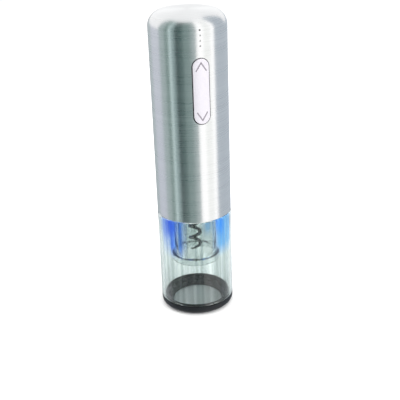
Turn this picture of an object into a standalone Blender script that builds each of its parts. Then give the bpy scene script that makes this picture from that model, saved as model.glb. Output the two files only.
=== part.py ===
"""Electric wine opener: a steel handle over a clear sleeve, with the screw, its drive and its power inside.

Every size below is in millimetres and the solids are scaled to metres as they are made. The origin is the
centre of the foot ring's underside, +Z points up the handle, and the rocker button faces -Y.
"""

from math import asin, atan2, ceil, cos, degrees, pi, radians, sin, sqrt, tan

import bmesh
import bpy
from mathutils import Matrix, Vector

MM = 0.001

# Driving sizes
BODY_D = 50.0
HEIGHT = 205.0
SLEEVE_TOP = 70.0
FOOT_H = 6.0
GAP = 0.3

# Handle shell
SHELL_WALL = 0.8
SHELL_TOP_WALL = 1.0
SHELL_FILLET = 10.0

# Chassis
CHASSIS_WALL = 1.8
CHASSIS_TOP_WALL = 1.5
LEDGE_H = 2.5
COLLAR_WALL = 2.3
BOSS_R = 3.4
BOSS_INSET = 3.5
CHASSIS_SCREW_LOW_Z = 104.0
CHASSIS_SCREW_DROP = 17.0
CHASSIS_HEAD_Y = 9.2
CHASSIS_SCREW_L = 15.0
OPENING_REACH = 4.4

# Sleeve and its twist lock
SLEEVE_WALL = 2.0
SPIGOT_WALL = 1.7
SPIGOT_H = 8.0
LUG_ANGLES = (30.0, 150.0, 270.0)
LUG_WIDTH_DEG = 14.0
LUG_DEPTH = 1.3
LUG_H = 2.5
LUG_RISE = 4.0
TWIST_DEG = 18.0

# Foot ring
FOOT_FILLET = 3.5
FOOT_MOUTH_R = 17.0
FOOT_MOUTH_Z = 0.6
FOOT_UPSTAND_H = 1.2
FOOT_UPSTAND_WALL = 0.8
FOOT_TEETH = 12
FOOT_TEETH_STEP = 2.4
FOOT_TEETH_DROP = 0.8
FOOT_NOTCH_DEPTH = 2.0
FOOT_NOTCH_DEG = 12.0

# Neck guide and cork chamber
LIP_R = 15.0
LIP_STOP_Z = 37.5
LIP_SKIRT_H = 3.5
SKIRT_WALL = 1.3
CHAMBER_R = 12.6
CHAMBER_WALL = 1.4
CHAMBER_FLANGE_H = 1.6
CORK_RIBS = 4
CORK_RIB_DEG = 3.6
CORK_RIB_H = 0.6

# Screw and its travel
WORM_PITCH = 10.0
WORM_COIL_R = 3.2
WORM_WIRE_R = 1.35
WORM_TIP_Z = 39.5
WORM_TRAVEL = 42.0
CARRIER_R = 8.8
CARRIER_H = 5.9
CARRIER_LUG_R = 12.4
CARRIER_LUG_W = 3.4
CARRIER_LUG_H = 2.4
DRIVE_TUBE_R = 10.6
DRIVE_TUBE_WALL = 1.4
DRIVE_DISC_H = 1.9
GUIDE_R = 14.5
GUIDE_BORE_R = 11.0
GUIDE_STARTS = 2
GROOVE_DEPTH = 2.0
GROOVE_H = 3.4
FLANGE_H = 2.0
FLANGE_R = 18.5

# Gearbox: two planetary stages that share one ring gear
MODULE = 0.5
SUN_TEETH = 12
PLANET_TEETH = 18
RING_TEETH = SUN_TEETH + 2 * PLANET_TEETH
PLANETS = 3
PRESSURE_DEG = 25.0
ADDENDUM = 0.8
DEDENDUM = 1.05
BACKLASH = 0.14
GEAR_CASE_R = 14.5
BASE_H = 2.3
BUSH_WALL = 1.0
STUB_R = 4.0
SQUARE = 5.6
PLATE_H = 1.8
PIN_R = 1.4
STAGE_2_H = 6.0
STAGE_1_H = 4.5
MOTOR_PLATE_H = 2.0

# Motor
MOTOR_R = 12.2
MOTOR_FLAT_DEPTH = 2.15
MOTOR_CAN_H = 26.5
MOTOR_WALL = 1.0
MOTOR_BOSS_R = 3.0
MOTOR_SCREW_INSET = 4.2
MOTOR_SCREW_HEAD_R = 1.6
MOTOR_SCREW_HEAD_H = 1.0
MOTOR_SHANK_R = 0.9
SHAFT_R = 1.0
COMMUTATOR_R = 2.6
MAGNET_WALL = 1.7
MAGNET_DEG = 100.0
AIR_GAP = 0.4
BELL_H = 2.7
BEARING_H = 1.2

# Power and control
CELL_R = 5.0
CELL_H = 43.5
CELL_EDGE = 0.3
CELL_NUB_R = 1.6
CELL_NUB_H = 0.8
CELL_CLEARANCE = 1.5
HOLDER_H = 5.0
HOLDER_HALF_W = 11.0
HOLDER_FLOOR = 1.4
HOLDER_SPREAD_DEG = 32.0
BOARD_W = 20.0
BOARD_H = 1.6
BOARD_INSET = 7.4
LED_BOARD_H = 0.9
LED_SIZE = 2.8
LED_H = 1.1
LED_ANGLES = (35.0, 125.0, 215.0, 305.0)
CHARGE_Z = 92.0
CHARGE_BOARD_HALF_W = 6.0
CHARGE_BOARD_H = 1.2
JACK_HALF = 3.5
JACK_INSET = 3.6
JACK_R = 2.9
JACK_BORE_R = 1.75
JACK_PIN_R = 0.6
LEAD_R = 0.7

# Rocker button
ROCKER_DROP = 46.5
ROCKER_W = 10.6
ROCKER_L = 41.6
ROCKER_PROUD = 0.35
ROCKER_BACK_INSET = 2.7
ROCKER_PIN_INSET = 3.5
ROCKER_PIN_R = 0.8
ROCKER_LEG_Z = 13.5
ROCKER_LEG_REACH = 1.8
BEZEL_WALL = 1.55
BEZEL_LIP = 1.7
BEZEL_LIP_H = 0.9
PAD_HALF_W = 4.5
PAD_HALF_L = 18.0
PAD_H = 0.7
DOME_R = 3.0
DOME_H = 1.6

# Indicator lights
LIGHTS = 4
LIGHT_DROP = 8.5
LIGHT_PITCH = 3.2
LIGHT_R = 0.5
LIGHT_BAR_HALF_W = 1.6
LIGHT_BAR_INSET = 4.0
LIGHT_BAR_H = 1.6

# Fasteners: shank and head radii, head height
SCREW_R = 1.0
SCREW_HEAD_R = 1.8
SCREW_HEAD_H = 1.2
SCREW_EDGE = 0.3

# Facets round a full turn
ROUND = 36
INNER_ROUND = 24
BOSS_ROUND = 16
SMALL_ROUND = 12
TINY_ROUND = 8
GUIDE_ROUND = 18
LEAD_STEPS = 3

# Radii and heights that follow from the sizes above
BODY_R = BODY_D / 2
SHELL_BORE_R = BODY_R - SHELL_WALL
CHASSIS_R = SHELL_BORE_R - GAP
CHASSIS_BORE_R = CHASSIS_R - CHASSIS_WALL
FILLET_Z = HEIGHT - SHELL_FILLET
FILLET_R = BODY_R - SHELL_FILLET
CHASSIS_TOP_Z = HEIGHT - SHELL_TOP_WALL - GAP
CHASSIS_FILLET_Z = CHASSIS_TOP_Z - (CHASSIS_R - FILLET_R)
SPIGOT_R = CHASSIS_R
SPIGOT_BORE_R = SPIGOT_R - SPIGOT_WALL
COLLAR_R = SPIGOT_BORE_R - GAP
COLLAR_BORE_R = COLLAR_R - COLLAR_WALL
SPIGOT_TOP_Z = SLEEVE_TOP + SPIGOT_H
LEDGE_Z = SPIGOT_TOP_Z + GAP
LIP_FLANGE_R = COLLAR_BORE_R - 2 * GAP
CHAMBER_OUTER_R = CHAMBER_R + CHAMBER_WALL
GUIDE_FLANGE_Z = LEDGE_Z - GAP - FLANGE_H
CHAMBER_TOP_Z = GUIDE_FLANGE_Z - GAP
GUIDE_SCREW_R = (LIP_FLANGE_R + GUIDE_R) / 2
GUIDE_HEAD_Z = CHAMBER_TOP_Z - CHAMBER_FLANGE_H - GAP
LED_BOARD_Z = GUIDE_HEAD_Z - SCREW_HEAD_H - GAP - LED_BOARD_H

# The carrier's lugs are at the top of their travel at rest
LUG_Z = LEDGE_Z + WORM_TRAVEL + GAP
CARRIER_TOP_Z = LUG_Z + CARRIER_LUG_H / 2 + 1.6
DRIVE_DISC_Z = CARRIER_TOP_Z + 2 * GAP
DRIVE_TOP_Z = DRIVE_DISC_Z + DRIVE_DISC_H
GUIDE_TOP_Z = DRIVE_TOP_Z + GAP
DRIVE_BOTTOM_Z = GUIDE_FLANGE_Z + 2 * GAP
SHELF_TOP_Z = GUIDE_TOP_Z - FLANGE_H - GAP
BASE_Z = GUIDE_TOP_Z + GAP
STAGE_2_PLATE_Z = BASE_Z + BASE_H + GAP
STAGE_2_Z = STAGE_2_PLATE_Z + PLATE_H + 2 * GAP
STAGE_1_PLATE_Z = STAGE_2_Z + STAGE_2_H + 2 * GAP
STAGE_1_Z = STAGE_1_PLATE_Z + PLATE_H + 2 * GAP
MOTOR_PLATE_Z = STAGE_1_Z + STAGE_1_H + 3 * GAP + MOTOR_SCREW_HEAD_H
MOTOR_Z = MOTOR_PLATE_Z + MOTOR_PLATE_H + GAP
MOTOR_TOP_Z = MOTOR_Z + MOTOR_CAN_H
BELL_Z = MOTOR_TOP_Z + GAP
MOTOR_SCREW_X = MOTOR_R - MOTOR_SCREW_INSET
MOTOR_FLAT = MOTOR_R - MOTOR_FLAT_DEPTH
MAGNET_R = MOTOR_R - MOTOR_WALL - GAP
ARMATURE_R = MAGNET_R - MAGNET_WALL - AIR_GAP
STACK_LOW_Z = MOTOR_Z + MOTOR_WALL + 2.5
STACK_HIGH_Z = MOTOR_TOP_Z - 4.0
GEAR_SCREW_R = (GEAR_CASE_R + FLANGE_R) / 2 + 0.1
ORBIT_R = MODULE * (SUN_TEETH + PLANET_TEETH) / 2
STAGE_PLATE_R = MODULE * RING_TEETH / 2 - ADDENDUM * MODULE - 1.0
CHASSIS_SCREW_X = CHASSIS_BORE_R - BOSS_INSET
CHASSIS_SCREWS = [(x, z) for z in (CHASSIS_SCREW_LOW_Z, HEIGHT - CHASSIS_SCREW_DROP)
                  for x in (-CHASSIS_SCREW_X, CHASSIS_SCREW_X)]
OPENING_Y = CHASSIS_BORE_R - OPENING_REACH
CELL_X = CELL_R + 2 * GAP
CELL_Y = CHASSIS_BORE_R - CELL_R - CELL_CLEARANCE
CELL_Z = MOTOR_Z + HOLDER_FLOOR + GAP
LIGHT_TOP_Z = HEIGHT - LIGHT_DROP
BOARD_Y = BOARD_INSET - BODY_R
BOARD_BACK_Y = BOARD_Y + BOARD_H
BOARD_BOTTOM_Z = STAGE_2_PLATE_Z + FLANGE_H + SCREW_HEAD_H + 1.2
BOARD_TOP_Z = LIGHT_TOP_Z + 2.0
ROCKER_Z = HEIGHT - ROCKER_DROP
ROCKER_PIN_Y = ROCKER_PIN_INSET - BODY_R
ROCKER_BACK_Y = ROCKER_BACK_INSET - BODY_R
BEZEL_BORE_W = ROCKER_W / 2 + 1.5 * GAP
BEZEL_BORE_L = ROCKER_L / 2 + 1.5 * GAP
BEZEL_HALF_W = BEZEL_BORE_W + BEZEL_WALL
BEZEL_HALF_L = BEZEL_BORE_L + BEZEL_WALL
BEZEL_FIT_R = CHASSIS_BORE_R * cos(pi / INNER_ROUND) - GAP / 2
BEZEL_LIP_Y = -sqrt(BEZEL_FIT_R**2 - (BEZEL_HALF_W + BEZEL_LIP) ** 2)
BEZEL_BACK_Y = BEZEL_LIP_Y + BEZEL_LIP_H
PLANET_ANGLES = [90.0 + 360.0 * i / PLANETS for i in range(PLANETS)]

# Finishes: base colour, roughness, metallic
FINISHES = {
    "brushed_steel": ((0.62, 0.62, 0.62), 0.32, 1.0),
    "satin_silver": ((0.72, 0.70, 0.70), 0.38, 0.4),
    "clear_plastic": ((0.75, 0.80, 0.80), 0.08, 0.0),
    "black_plastic": ((0.02, 0.022, 0.026), 0.40, 0.0),
    "frame_plastic": ((0.10, 0.10, 0.11), 0.55, 0.0),
    "nylon": ((0.72, 0.70, 0.62), 0.50, 0.0),
    "worm_coating": ((0.05, 0.05, 0.055), 0.28, 0.0),
    "gear_steel": ((0.42, 0.42, 0.43), 0.35, 1.0),
    "bronze": ((0.55, 0.36, 0.16), 0.40, 1.0),
    "zinc_steel": ((0.55, 0.55, 0.56), 0.38, 1.0),
    "magnet_ferrite": ((0.07, 0.07, 0.07), 0.70, 0.0),
    "copper_winding": ((0.60, 0.24, 0.10), 0.35, 1.0),
    "cell_wrap": ((0.05, 0.16, 0.42), 0.35, 0.0),
    "circuit_board": ((0.03, 0.20, 0.08), 0.45, 0.0),
    "silicone": ((0.55, 0.56, 0.57), 0.60, 0.0),
    "blue_light": ((0.25, 0.50, 1.00), 0.30, 0.0),
    "red_wire": ((0.55, 0.03, 0.03), 0.45, 0.0),
    "black_wire": ((0.02, 0.02, 0.02), 0.45, 0.0),
}


def clear_scene():
    for obj in list(bpy.data.objects):
        bpy.data.objects.remove(obj, do_unlink=True)


def finish(name):
    """The material of that finish, made the first time it is asked for."""
    if name in bpy.data.materials:
        return bpy.data.materials[name]
    colour, roughness, metallic = FINISHES[name]
    material = bpy.data.materials.new(name)
    material.use_nodes = True
    shader = material.node_tree.nodes["Principled BSDF"]
    shader.inputs["Base Color"].default_value = (*colour, 1.0)
    shader.inputs["Roughness"].default_value = roughness
    shader.inputs["Metallic"].default_value = metallic
    material.diffuse_color = (*colour, 1.0)
    return material


def axis_empty(name, at=(0.0, 0.0, 0.0)):
    """An empty on a joint's axis, which the pieces of that joint hang from."""
    empty = bpy.data.objects.new(name, None)
    empty.location = Vector(at) * MM
    bpy.context.scene.collection.objects.link(empty)
    return empty


def solid(name, bm, look, at=(0.0, 0.0, 0.0), parent=None):
    """Makes the object from a bmesh in millimetres, drawn round its own origin and placed at that point."""
    bmesh.ops.recalc_face_normals(bm, faces=bm.faces)
    bmesh.ops.scale(bm, vec=(MM, MM, MM), verts=bm.verts)
    mesh = bpy.data.meshes.new(name)
    bm.to_mesh(mesh)
    bm.free()
    mesh.shade_smooth()
    mesh.set_sharp_from_angle(angle=radians(35))
    mesh.materials.append(finish(look))
    obj = bpy.data.objects.new(name, mesh)
    obj.location = Vector(at) * MM
    obj.parent = parent
    bpy.context.scene.collection.objects.link(obj)
    return obj


def tool(name, *meshes):
    """A cutter or an added lump, which is never a piece by itself. Its volumes don't overlap each other."""
    joined = bmesh.new()
    for bm in meshes:
        mesh = bpy.data.meshes.new(name)
        bmesh.ops.recalc_face_normals(bm, faces=bm.faces)
        bm.to_mesh(mesh)
        bm.free()
        joined.from_mesh(mesh)
        bpy.data.meshes.remove(mesh)
    bmesh.ops.scale(joined, vec=(MM, MM, MM), verts=joined.verts)
    mesh = bpy.data.meshes.new(name)
    joined.to_mesh(mesh)
    joined.free()
    obj = bpy.data.objects.new(name, mesh)
    obj.hide_render = True
    obj.display_type = "WIRE"
    bpy.context.scene.collection.objects.link(obj)
    return obj


def boolean(obj, operation, name, *meshes, at=(0.0, 0.0, 0.0), solver="EXACT"):
    """Adds a Boolean with a new tool to the object, at the point where the tool's own origin stands."""
    operand = tool(name, *meshes)
    operand.location = Vector(at) * MM
    operand.parent = obj.parent
    modifier = obj.modifiers.new(name, "BOOLEAN")
    modifier.operation = operation
    modifier.solver = solver
    modifier.object = operand


def cut(obj, name, *meshes, at=(0.0, 0.0, 0.0), solver="EXACT"):
    boolean(obj, "DIFFERENCE", name, *meshes, at=at, solver=solver)


def add(obj, name, *meshes, at=(0.0, 0.0, 0.0), solver="EXACT"):
    boolean(obj, "UNION", name, *meshes, at=at, solver=solver)


def keep_inside(obj, name, *meshes, at=(0.0, 0.0, 0.0), solver="EXACT"):
    boolean(obj, "INTERSECT", name, *meshes, at=at, solver=solver)


def arc(centre_r, centre_z, radius, start_deg, end_deg, steps):
    """Points of a profile's arc, both ends included."""
    angles = [radians(start_deg + (end_deg - start_deg) * i / steps) for i in range(steps + 1)]
    return [(centre_r + radius * cos(a), centre_z + radius * sin(a)) for a in angles]


def circle(radius, steps, centre=(0.0, 0.0), offset=0.0):
    """A round outline, whose first point is offset round it by that share of a step."""
    angles = [2 * pi * (i + offset) / steps for i in range(steps)]
    return [(centre[0] + radius * cos(a), centre[1] + radius * sin(a)) for a in angles]


def capsule(half_width, half_length, steps=4):
    """A slot's outline with round ends, long in its second coordinate."""
    straight = half_length - half_width
    top = arc(0.0, straight, half_width, 0, 180, 2 * steps)
    bottom = arc(0.0, -straight, half_width, 180, 360, 2 * steps)
    return top + bottom


def sector(inner_r, outer_r, start_deg, end_deg, steps=4):
    """The outline of a piece of a flat ring."""
    outside = arc(0.0, 0.0, outer_r, start_deg, end_deg, steps)
    inside = arc(0.0, 0.0, inner_r, end_deg, start_deg, steps)
    return outside + inside


def flatted(radius, flat, steps=INNER_ROUND):
    """A circle with a flat cut off at the front and the back."""
    half = degrees(asin(flat / radius))
    sides = [arc(0.0, 0.0, radius, middle - half, middle + half, steps // 3) for middle in (0, 180)]
    return sides[0] + sides[1]


def turned(profile, steps=ROUND):
    """A closed profile of radius and height, turned round the Z axis, with a facet's middle on each axis."""
    bm = bmesh.new()
    verts = [bm.verts.new((r, 0.0, z)) for r, z in profile]
    pairs = zip(verts, verts[1:] + verts[:1])
    edges = [bm.edges.new(pair) for pair in pairs if pair[0].co.x > 0 or pair[1].co.x > 0]
    centre = (0.0, 0.0, 0.0)
    around = {"cent": centre, "axis": (0.0, 0.0, 1.0), "angle": 2 * pi, "steps": steps}
    bmesh.ops.spin(bm, geom=verts + edges, use_merge=True, **around)
    bmesh.ops.remove_doubles(bm, verts=bm.verts, dist=1e-4)
    bmesh.ops.rotate(bm, cent=centre, matrix=Matrix.Rotation(pi / steps, 3, "Z"), verts=bm.verts)
    return bm


def plate(low, high, outline, *holes):
    """A flat piece of that outline, from one height to the other, with its holes."""
    bm = bmesh.new()
    edges = []
    for loop in (outline, *holes):
        verts = [bm.verts.new((x, y, low)) for x, y in loop]
        edges += [bm.edges.new(pair) for pair in zip(verts, verts[1:] + verts[:1])]
    bmesh.ops.triangle_fill(bm, use_beauty=True, edges=edges, normal=(0, 0, 1))
    lifted = bmesh.ops.extrude_face_region(bm, geom=list(bm.faces))
    top = [item for item in lifted["geom"] if isinstance(item, bmesh.types.BMVert)]
    bmesh.ops.translate(bm, vec=(0, 0, high - low), verts=top)
    return bm


def block(low, high):
    """A box between two corners."""
    bm = bmesh.new()
    bmesh.ops.create_cube(bm, size=1.0)
    low, high = Vector(low), Vector(high)
    bmesh.ops.scale(bm, vec=high - low, verts=bm.verts)
    bmesh.ops.translate(bm, vec=(low + high) / 2, verts=bm.verts)
    return bm


def along_y(bm):
    """Turns a piece raised along Z so that it is drawn in X and Z and raised along Y."""
    bmesh.ops.rotate(bm, cent=(0, 0, 0), matrix=Matrix.Rotation(pi / 2, 3, "X"), verts=bm.verts)
    bmesh.ops.reverse_faces(bm, faces=bm.faces)
    bmesh.ops.scale(bm, vec=(1, -1, 1), verts=bm.verts)
    return bm


def along_x(bm):
    """Turns a piece raised along Z so that it is raised along X."""
    bmesh.ops.rotate(bm, cent=(0, 0, 0), matrix=Matrix.Rotation(pi / 2, 3, "Y"), verts=bm.verts)
    return bm


def rod_y(radius, low, high, x, z, steps=SMALL_ROUND):
    """A round rod along Y."""
    return along_y(plate(low, high, circle(radius, steps, (x, z), 0.5)))


def polar(radius, angle_deg):
    return radius * cos(radians(angle_deg)), radius * sin(radians(angle_deg))


def screw_holes(radius):
    """The clearance holes of three screws at that radius, in line with the lugs."""
    return [circle(SCREW_R + GAP, TINY_ROUND, polar(radius, angle)) for angle in LUG_ANGLES]


def gear_outline(teeth, addendum, dedendum, thin, turn_deg=0.0):
    """A gear's outline, with a tooth's middle at the angle turn_deg and straight flanks root to tip.

    thin is what each tooth loses at the pitch circle, or gains where it is negative.
    """
    pitch_r = MODULE * teeth / 2
    base_r = pitch_r * cos(radians(PRESSURE_DEG))
    at_pitch = tan(radians(PRESSURE_DEG)) - radians(PRESSURE_DEG)
    half_tooth = pi / (2 * teeth) - thin / (2 * pitch_r)
    half = []
    for r in (pitch_r - dedendum * MODULE, pitch_r + addendum * MODULE):
        on_involute = max(r, base_r)
        pressure = atan2(sqrt(on_involute**2 - base_r**2), base_r)
        half.append((r, half_tooth + at_pitch - (tan(pressure) - pressure)))
    points = []
    for i in range(teeth):
        middle = radians(turn_deg) + 2 * pi * i / teeth
        points += [(r * cos(middle - a), r * sin(middle - a)) for r, a in half]
        points += [(r * cos(middle + a), r * sin(middle + a)) for r, a in reversed(half)]
    return points


def screw(name, at, length, turn=None, head_r=SCREW_HEAD_R, head_h=SCREW_HEAD_H, shank_r=SCREW_R):
    """A pan-head screw. Its head stands at the point and its shank runs along +Z, or as turned."""
    profile = [(0, 0), (head_r - SCREW_EDGE, 0), (head_r, SCREW_EDGE), (head_r, head_h)]
    profile += [(shank_r, head_h), (shank_r, length - 2 * SCREW_EDGE), (0, length)]
    bm = turned(profile, TINY_ROUND)
    if turn:
        bmesh.ops.rotate(bm, cent=(0, 0, 0), matrix=turn, verts=bm.verts)
    return solid(name, bm, "zinc_steel", at)


def smooth_route(points):
    """Points along a smooth curve that passes through each of the given ones."""
    route = []
    ends = [points[0], *points, points[-1]]
    for a, b, c, d in zip(ends, ends[1:], ends[2:], ends[3:]):
        a, b, c, d = (Vector(p) for p in (a, b, c, d))
        second = 2 * a - 5 * b + 4 * c - d
        third = 3 * (b - c) + d - a
        for i in range(LEAD_STEPS):
            t = i / LEAD_STEPS
            route.append(b + ((c - a) * t + second * t**2 + third * t**3) / 2)
    return route + [Vector(points[-1])]


def lead(name, points, look):
    """An insulated lead along a smooth curve through its points."""
    route = smooth_route(points)
    curve = bpy.data.curves.new(name, "CURVE")
    curve.dimensions = "3D"
    curve.bevel_depth = LEAD_R * MM
    curve.bevel_resolution = 2
    curve.use_fill_caps = True
    spline = curve.splines.new("POLY")
    spline.points.add(len(route) - 1)
    for point, place in zip(spline.points, route):
        point.co = (*(place * MM), 1.0)
    curve.materials.append(finish(look))
    obj = bpy.data.objects.new(name, curve)
    bpy.context.scene.collection.objects.link(obj)
    return obj


def light_heights():
    """The heights of the indicator lights, top one first."""
    return [LIGHT_TOP_Z - LIGHT_PITCH * i for i in range(LIGHTS)]


def front_openings(half_width, half_length, light_r):
    """Cutters through the front wall for the rocker's slot and for each indicator light."""
    slot = along_y(plate(-BODY_R - 1, -OPENING_Y, capsule(half_width, half_length)))
    bmesh.ops.translate(slot, vec=(0, 0, ROCKER_Z), verts=slot.verts)
    return [slot] + [rod_y(light_r, -BODY_R - 1, -OPENING_Y, 0, z, TINY_ROUND) for z in light_heights()]


def body_shell():
    """The drawn steel cup that is the whole handle."""
    outside = [(BODY_R, SLEEVE_TOP)] + arc(FILLET_R, FILLET_Z, SHELL_FILLET, 0, 90, 5) + [(0, HEIGHT)]
    bore_fillet = SHELL_BORE_R - FILLET_R
    top = HEIGHT - SHELL_TOP_WALL
    inside = [(0, top)] + arc(FILLET_R, top - bore_fillet, bore_fillet, 90, 0, 5)
    inside.append((SHELL_BORE_R, SLEEVE_TOP))
    shell = solid("body_shell", turned(outside + inside), "brushed_steel")
    socket = rod_y(JACK_R + GAP, OPENING_Y, BODY_R + 1, 0, CHARGE_Z)
    front = front_openings(ROCKER_W / 2 + GAP, ROCKER_L / 2 + GAP, LIGHT_R + GAP)
    cut(shell, "shell_openings", socket, *front)


def chassis_profile():
    """The frame's wall from collar to domed top, with the ledge and the shelf that hold the drive."""
    bore_fillet = CHASSIS_BORE_R - FILLET_R
    roof = CHASSIS_TOP_Z - CHASSIS_TOP_WALL
    shelf_bore = GUIDE_R + 2 * GAP
    outside = [(COLLAR_R, SLEEVE_TOP + GAP), (COLLAR_R, LEDGE_Z), (CHASSIS_R, LEDGE_Z)]
    outside += arc(FILLET_R, CHASSIS_FILLET_Z, CHASSIS_R - FILLET_R, 0, 90, 4)
    inside = arc(FILLET_R, roof - bore_fillet, bore_fillet, 90, 0, 4)
    inside += [(CHASSIS_BORE_R, SHELF_TOP_Z), (shelf_bore, SHELF_TOP_Z), (shelf_bore, SHELF_TOP_Z - LEDGE_H)]
    inside += [(CHASSIS_BORE_R, SHELF_TOP_Z - LEDGE_H), (CHASSIS_BORE_R, LEDGE_Z + LEDGE_H)]
    inside += [(GUIDE_R + GAP, LEDGE_Z + LEDGE_H), (GUIDE_R + GAP, LEDGE_Z - GAP / 2)]
    inside += [(COLLAR_BORE_R, LEDGE_Z - GAP / 2), (COLLAR_BORE_R, SLEEVE_TOP + GAP)]
    return outside + [(0, CHASSIS_TOP_Z), (0, roof)] + inside


def lock_grooves():
    """The three L-shaped grooves that the sleeve's lugs turn in: in from below, then round by the twist."""
    side = LUG_WIDTH_DEG / 2 + 1
    bottom = SLEEVE_TOP + LUG_RISE - GAP
    top = bottom + LUG_H + 2 * GAP
    floor_r = SPIGOT_BORE_R - LUG_DEPTH - GAP
    grooves = []
    for angle in LUG_ANGLES:
        end = angle + TWIST_DEG
        run = plate(bottom, top, sector(floor_r, COLLAR_R + 1, angle - side, end + side))
        entry = plate(SLEEVE_TOP - 1, bottom + 1, sector(floor_r, COLLAR_R + 1, end - side, end + side))
        grooves.append((run, entry))
    return grooves


def chassis_half(name, side):
    """One half of the frame, split at the mid plane. side is -1 for the front and 1 for the back."""
    half = solid(name, turned(chassis_profile(), INNER_ROUND), "frame_plastic")
    solver = "MANIFOLD"
    reach = CHASSIS_HEAD_Y - 0.8
    bosses = [rod_y(BOSS_R, -reach, reach, x, z) for x, z in CHASSIS_SCREWS]
    add(half, name + "_bosses", *bosses, solver=solver)
    near, far = sorted((side * GAP / 2, side * BODY_D))
    kept = block((-BODY_D, near, 0), (BODY_D, far, HEIGHT + BODY_D))
    keep_inside(half, name + "_side", kept, solver=solver)
    for number, (run, entry) in enumerate(lock_grooves()):
        cut(half, f"{name}_groove_{number}", run, solver=solver)
        cut(half, f"{name}_entry_{number}", entry, solver=solver)
    screw_end = CHASSIS_SCREW_L - CHASSIS_HEAD_Y + GAP
    holes = [rod_y(SCREW_R + GAP, -CHASSIS_HEAD_Y, screw_end, x, z) for x, z in CHASSIS_SCREWS]
    cut(half, name + "_screw_holes", *holes, solver=solver)
    ledge_top = LEDGE_Z + LEDGE_H - 0.4
    ledge_holes = [plate(LEDGE_Z - 1, ledge_top, hole) for hole in screw_holes(GUIDE_SCREW_R)]
    cut(half, name + "_ledge_holes", *ledge_holes, solver=solver)
    if side > 0:
        jack = rod_y(JACK_R + 2 * GAP, OPENING_Y, BODY_R, 0, CHARGE_Z)
        cut(half, name + "_jack_hole", jack, solver=solver)
        return
    seat = GAP + SCREW_HEAD_H - CHASSIS_HEAD_Y
    recesses = [rod_y(SCREW_HEAD_R + GAP, -BODY_R, seat, x, z) for x, z in CHASSIS_SCREWS]
    cut(half, name + "_head_recesses", *recesses, solver=solver)
    room = GAP + 0.1
    window = front_openings(BEZEL_HALF_W + room, BEZEL_HALF_L + room, LIGHT_R + room)
    cut(half, name + "_window", *window, solver=solver)


def chassis_screws():
    to_y = Matrix.Rotation(-pi / 2, 3, "X")
    for number, (x, z) in enumerate(CHASSIS_SCREWS, 1):
        screw(f"chassis_screw_{number}", (x, -CHASSIS_HEAD_Y, z), CHASSIS_SCREW_L, to_y)


def clear_sleeve(parent):
    """The clear lower sleeve, with a spigot up inside the steel and three lugs that lock into the frame."""
    bottom = FOOT_H + GAP
    top = SLEEVE_TOP - GAP
    bore = BODY_R - SLEEVE_WALL
    profile = [(bore, bottom), (BODY_R, bottom), (BODY_R, top), (SPIGOT_R, top), (SPIGOT_R, SPIGOT_TOP_Z)]
    profile += [(SPIGOT_BORE_R, SPIGOT_TOP_Z), (SPIGOT_BORE_R, top - 1.5), (bore, top - 4.0)]
    sleeve = solid("clear_sleeve", turned(profile), "clear_plastic", parent=parent)
    half = LUG_WIDTH_DEG / 2
    low = SLEEVE_TOP + LUG_RISE
    inner_r = SPIGOT_BORE_R - LUG_DEPTH
    middle_r = (SPIGOT_R + SPIGOT_BORE_R) / 2
    lugs = [plate(low, low + LUG_H, sector(inner_r, middle_r, a - half, a + half)) for a in LUG_ANGLES]
    add(sleeve, "sleeve_lugs", *lugs)


def foot_ring(parent):
    """The moulded ring under the sleeve, with a low lip inside it and a step cut into teeth."""
    lip_r = BODY_R - SLEEVE_WALL - GAP
    lip_bore = lip_r - FOOT_UPSTAND_WALL
    step_r = FOOT_MOUTH_R + FOOT_TEETH_STEP
    step_z = FOOT_H - FOOT_TEETH_DROP
    notch_z = step_z - FOOT_NOTCH_DEPTH
    profile = [(FOOT_MOUTH_R + 0.5, 0)]
    profile += arc(BODY_R - FOOT_FILLET, FOOT_FILLET, FOOT_FILLET, -90, 0, 4)
    profile += [(BODY_R, FOOT_H), (lip_r, FOOT_H), (lip_r, FOOT_H + FOOT_UPSTAND_H)]
    profile += [(lip_bore, FOOT_H + FOOT_UPSTAND_H), (lip_bore, step_z), (step_r, step_z)]
    profile += [(step_r, notch_z - 0.6), (FOOT_MOUTH_R, FOOT_MOUTH_Z)]
    ring = solid("foot_ring", turned(profile), "black_plastic", parent=parent)
    half = FOOT_NOTCH_DEG / 2
    notches = []
    for i in range(FOOT_TEETH):
        angle = 360.0 * (i + 0.5) / FOOT_TEETH
        outline = sector(step_r - 1, lip_bore - GAP, angle - half, angle + half, 2)
        notches.append(plate(notch_z, step_z + 1, outline))
    cut(ring, "foot_notches", *notches)


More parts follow.
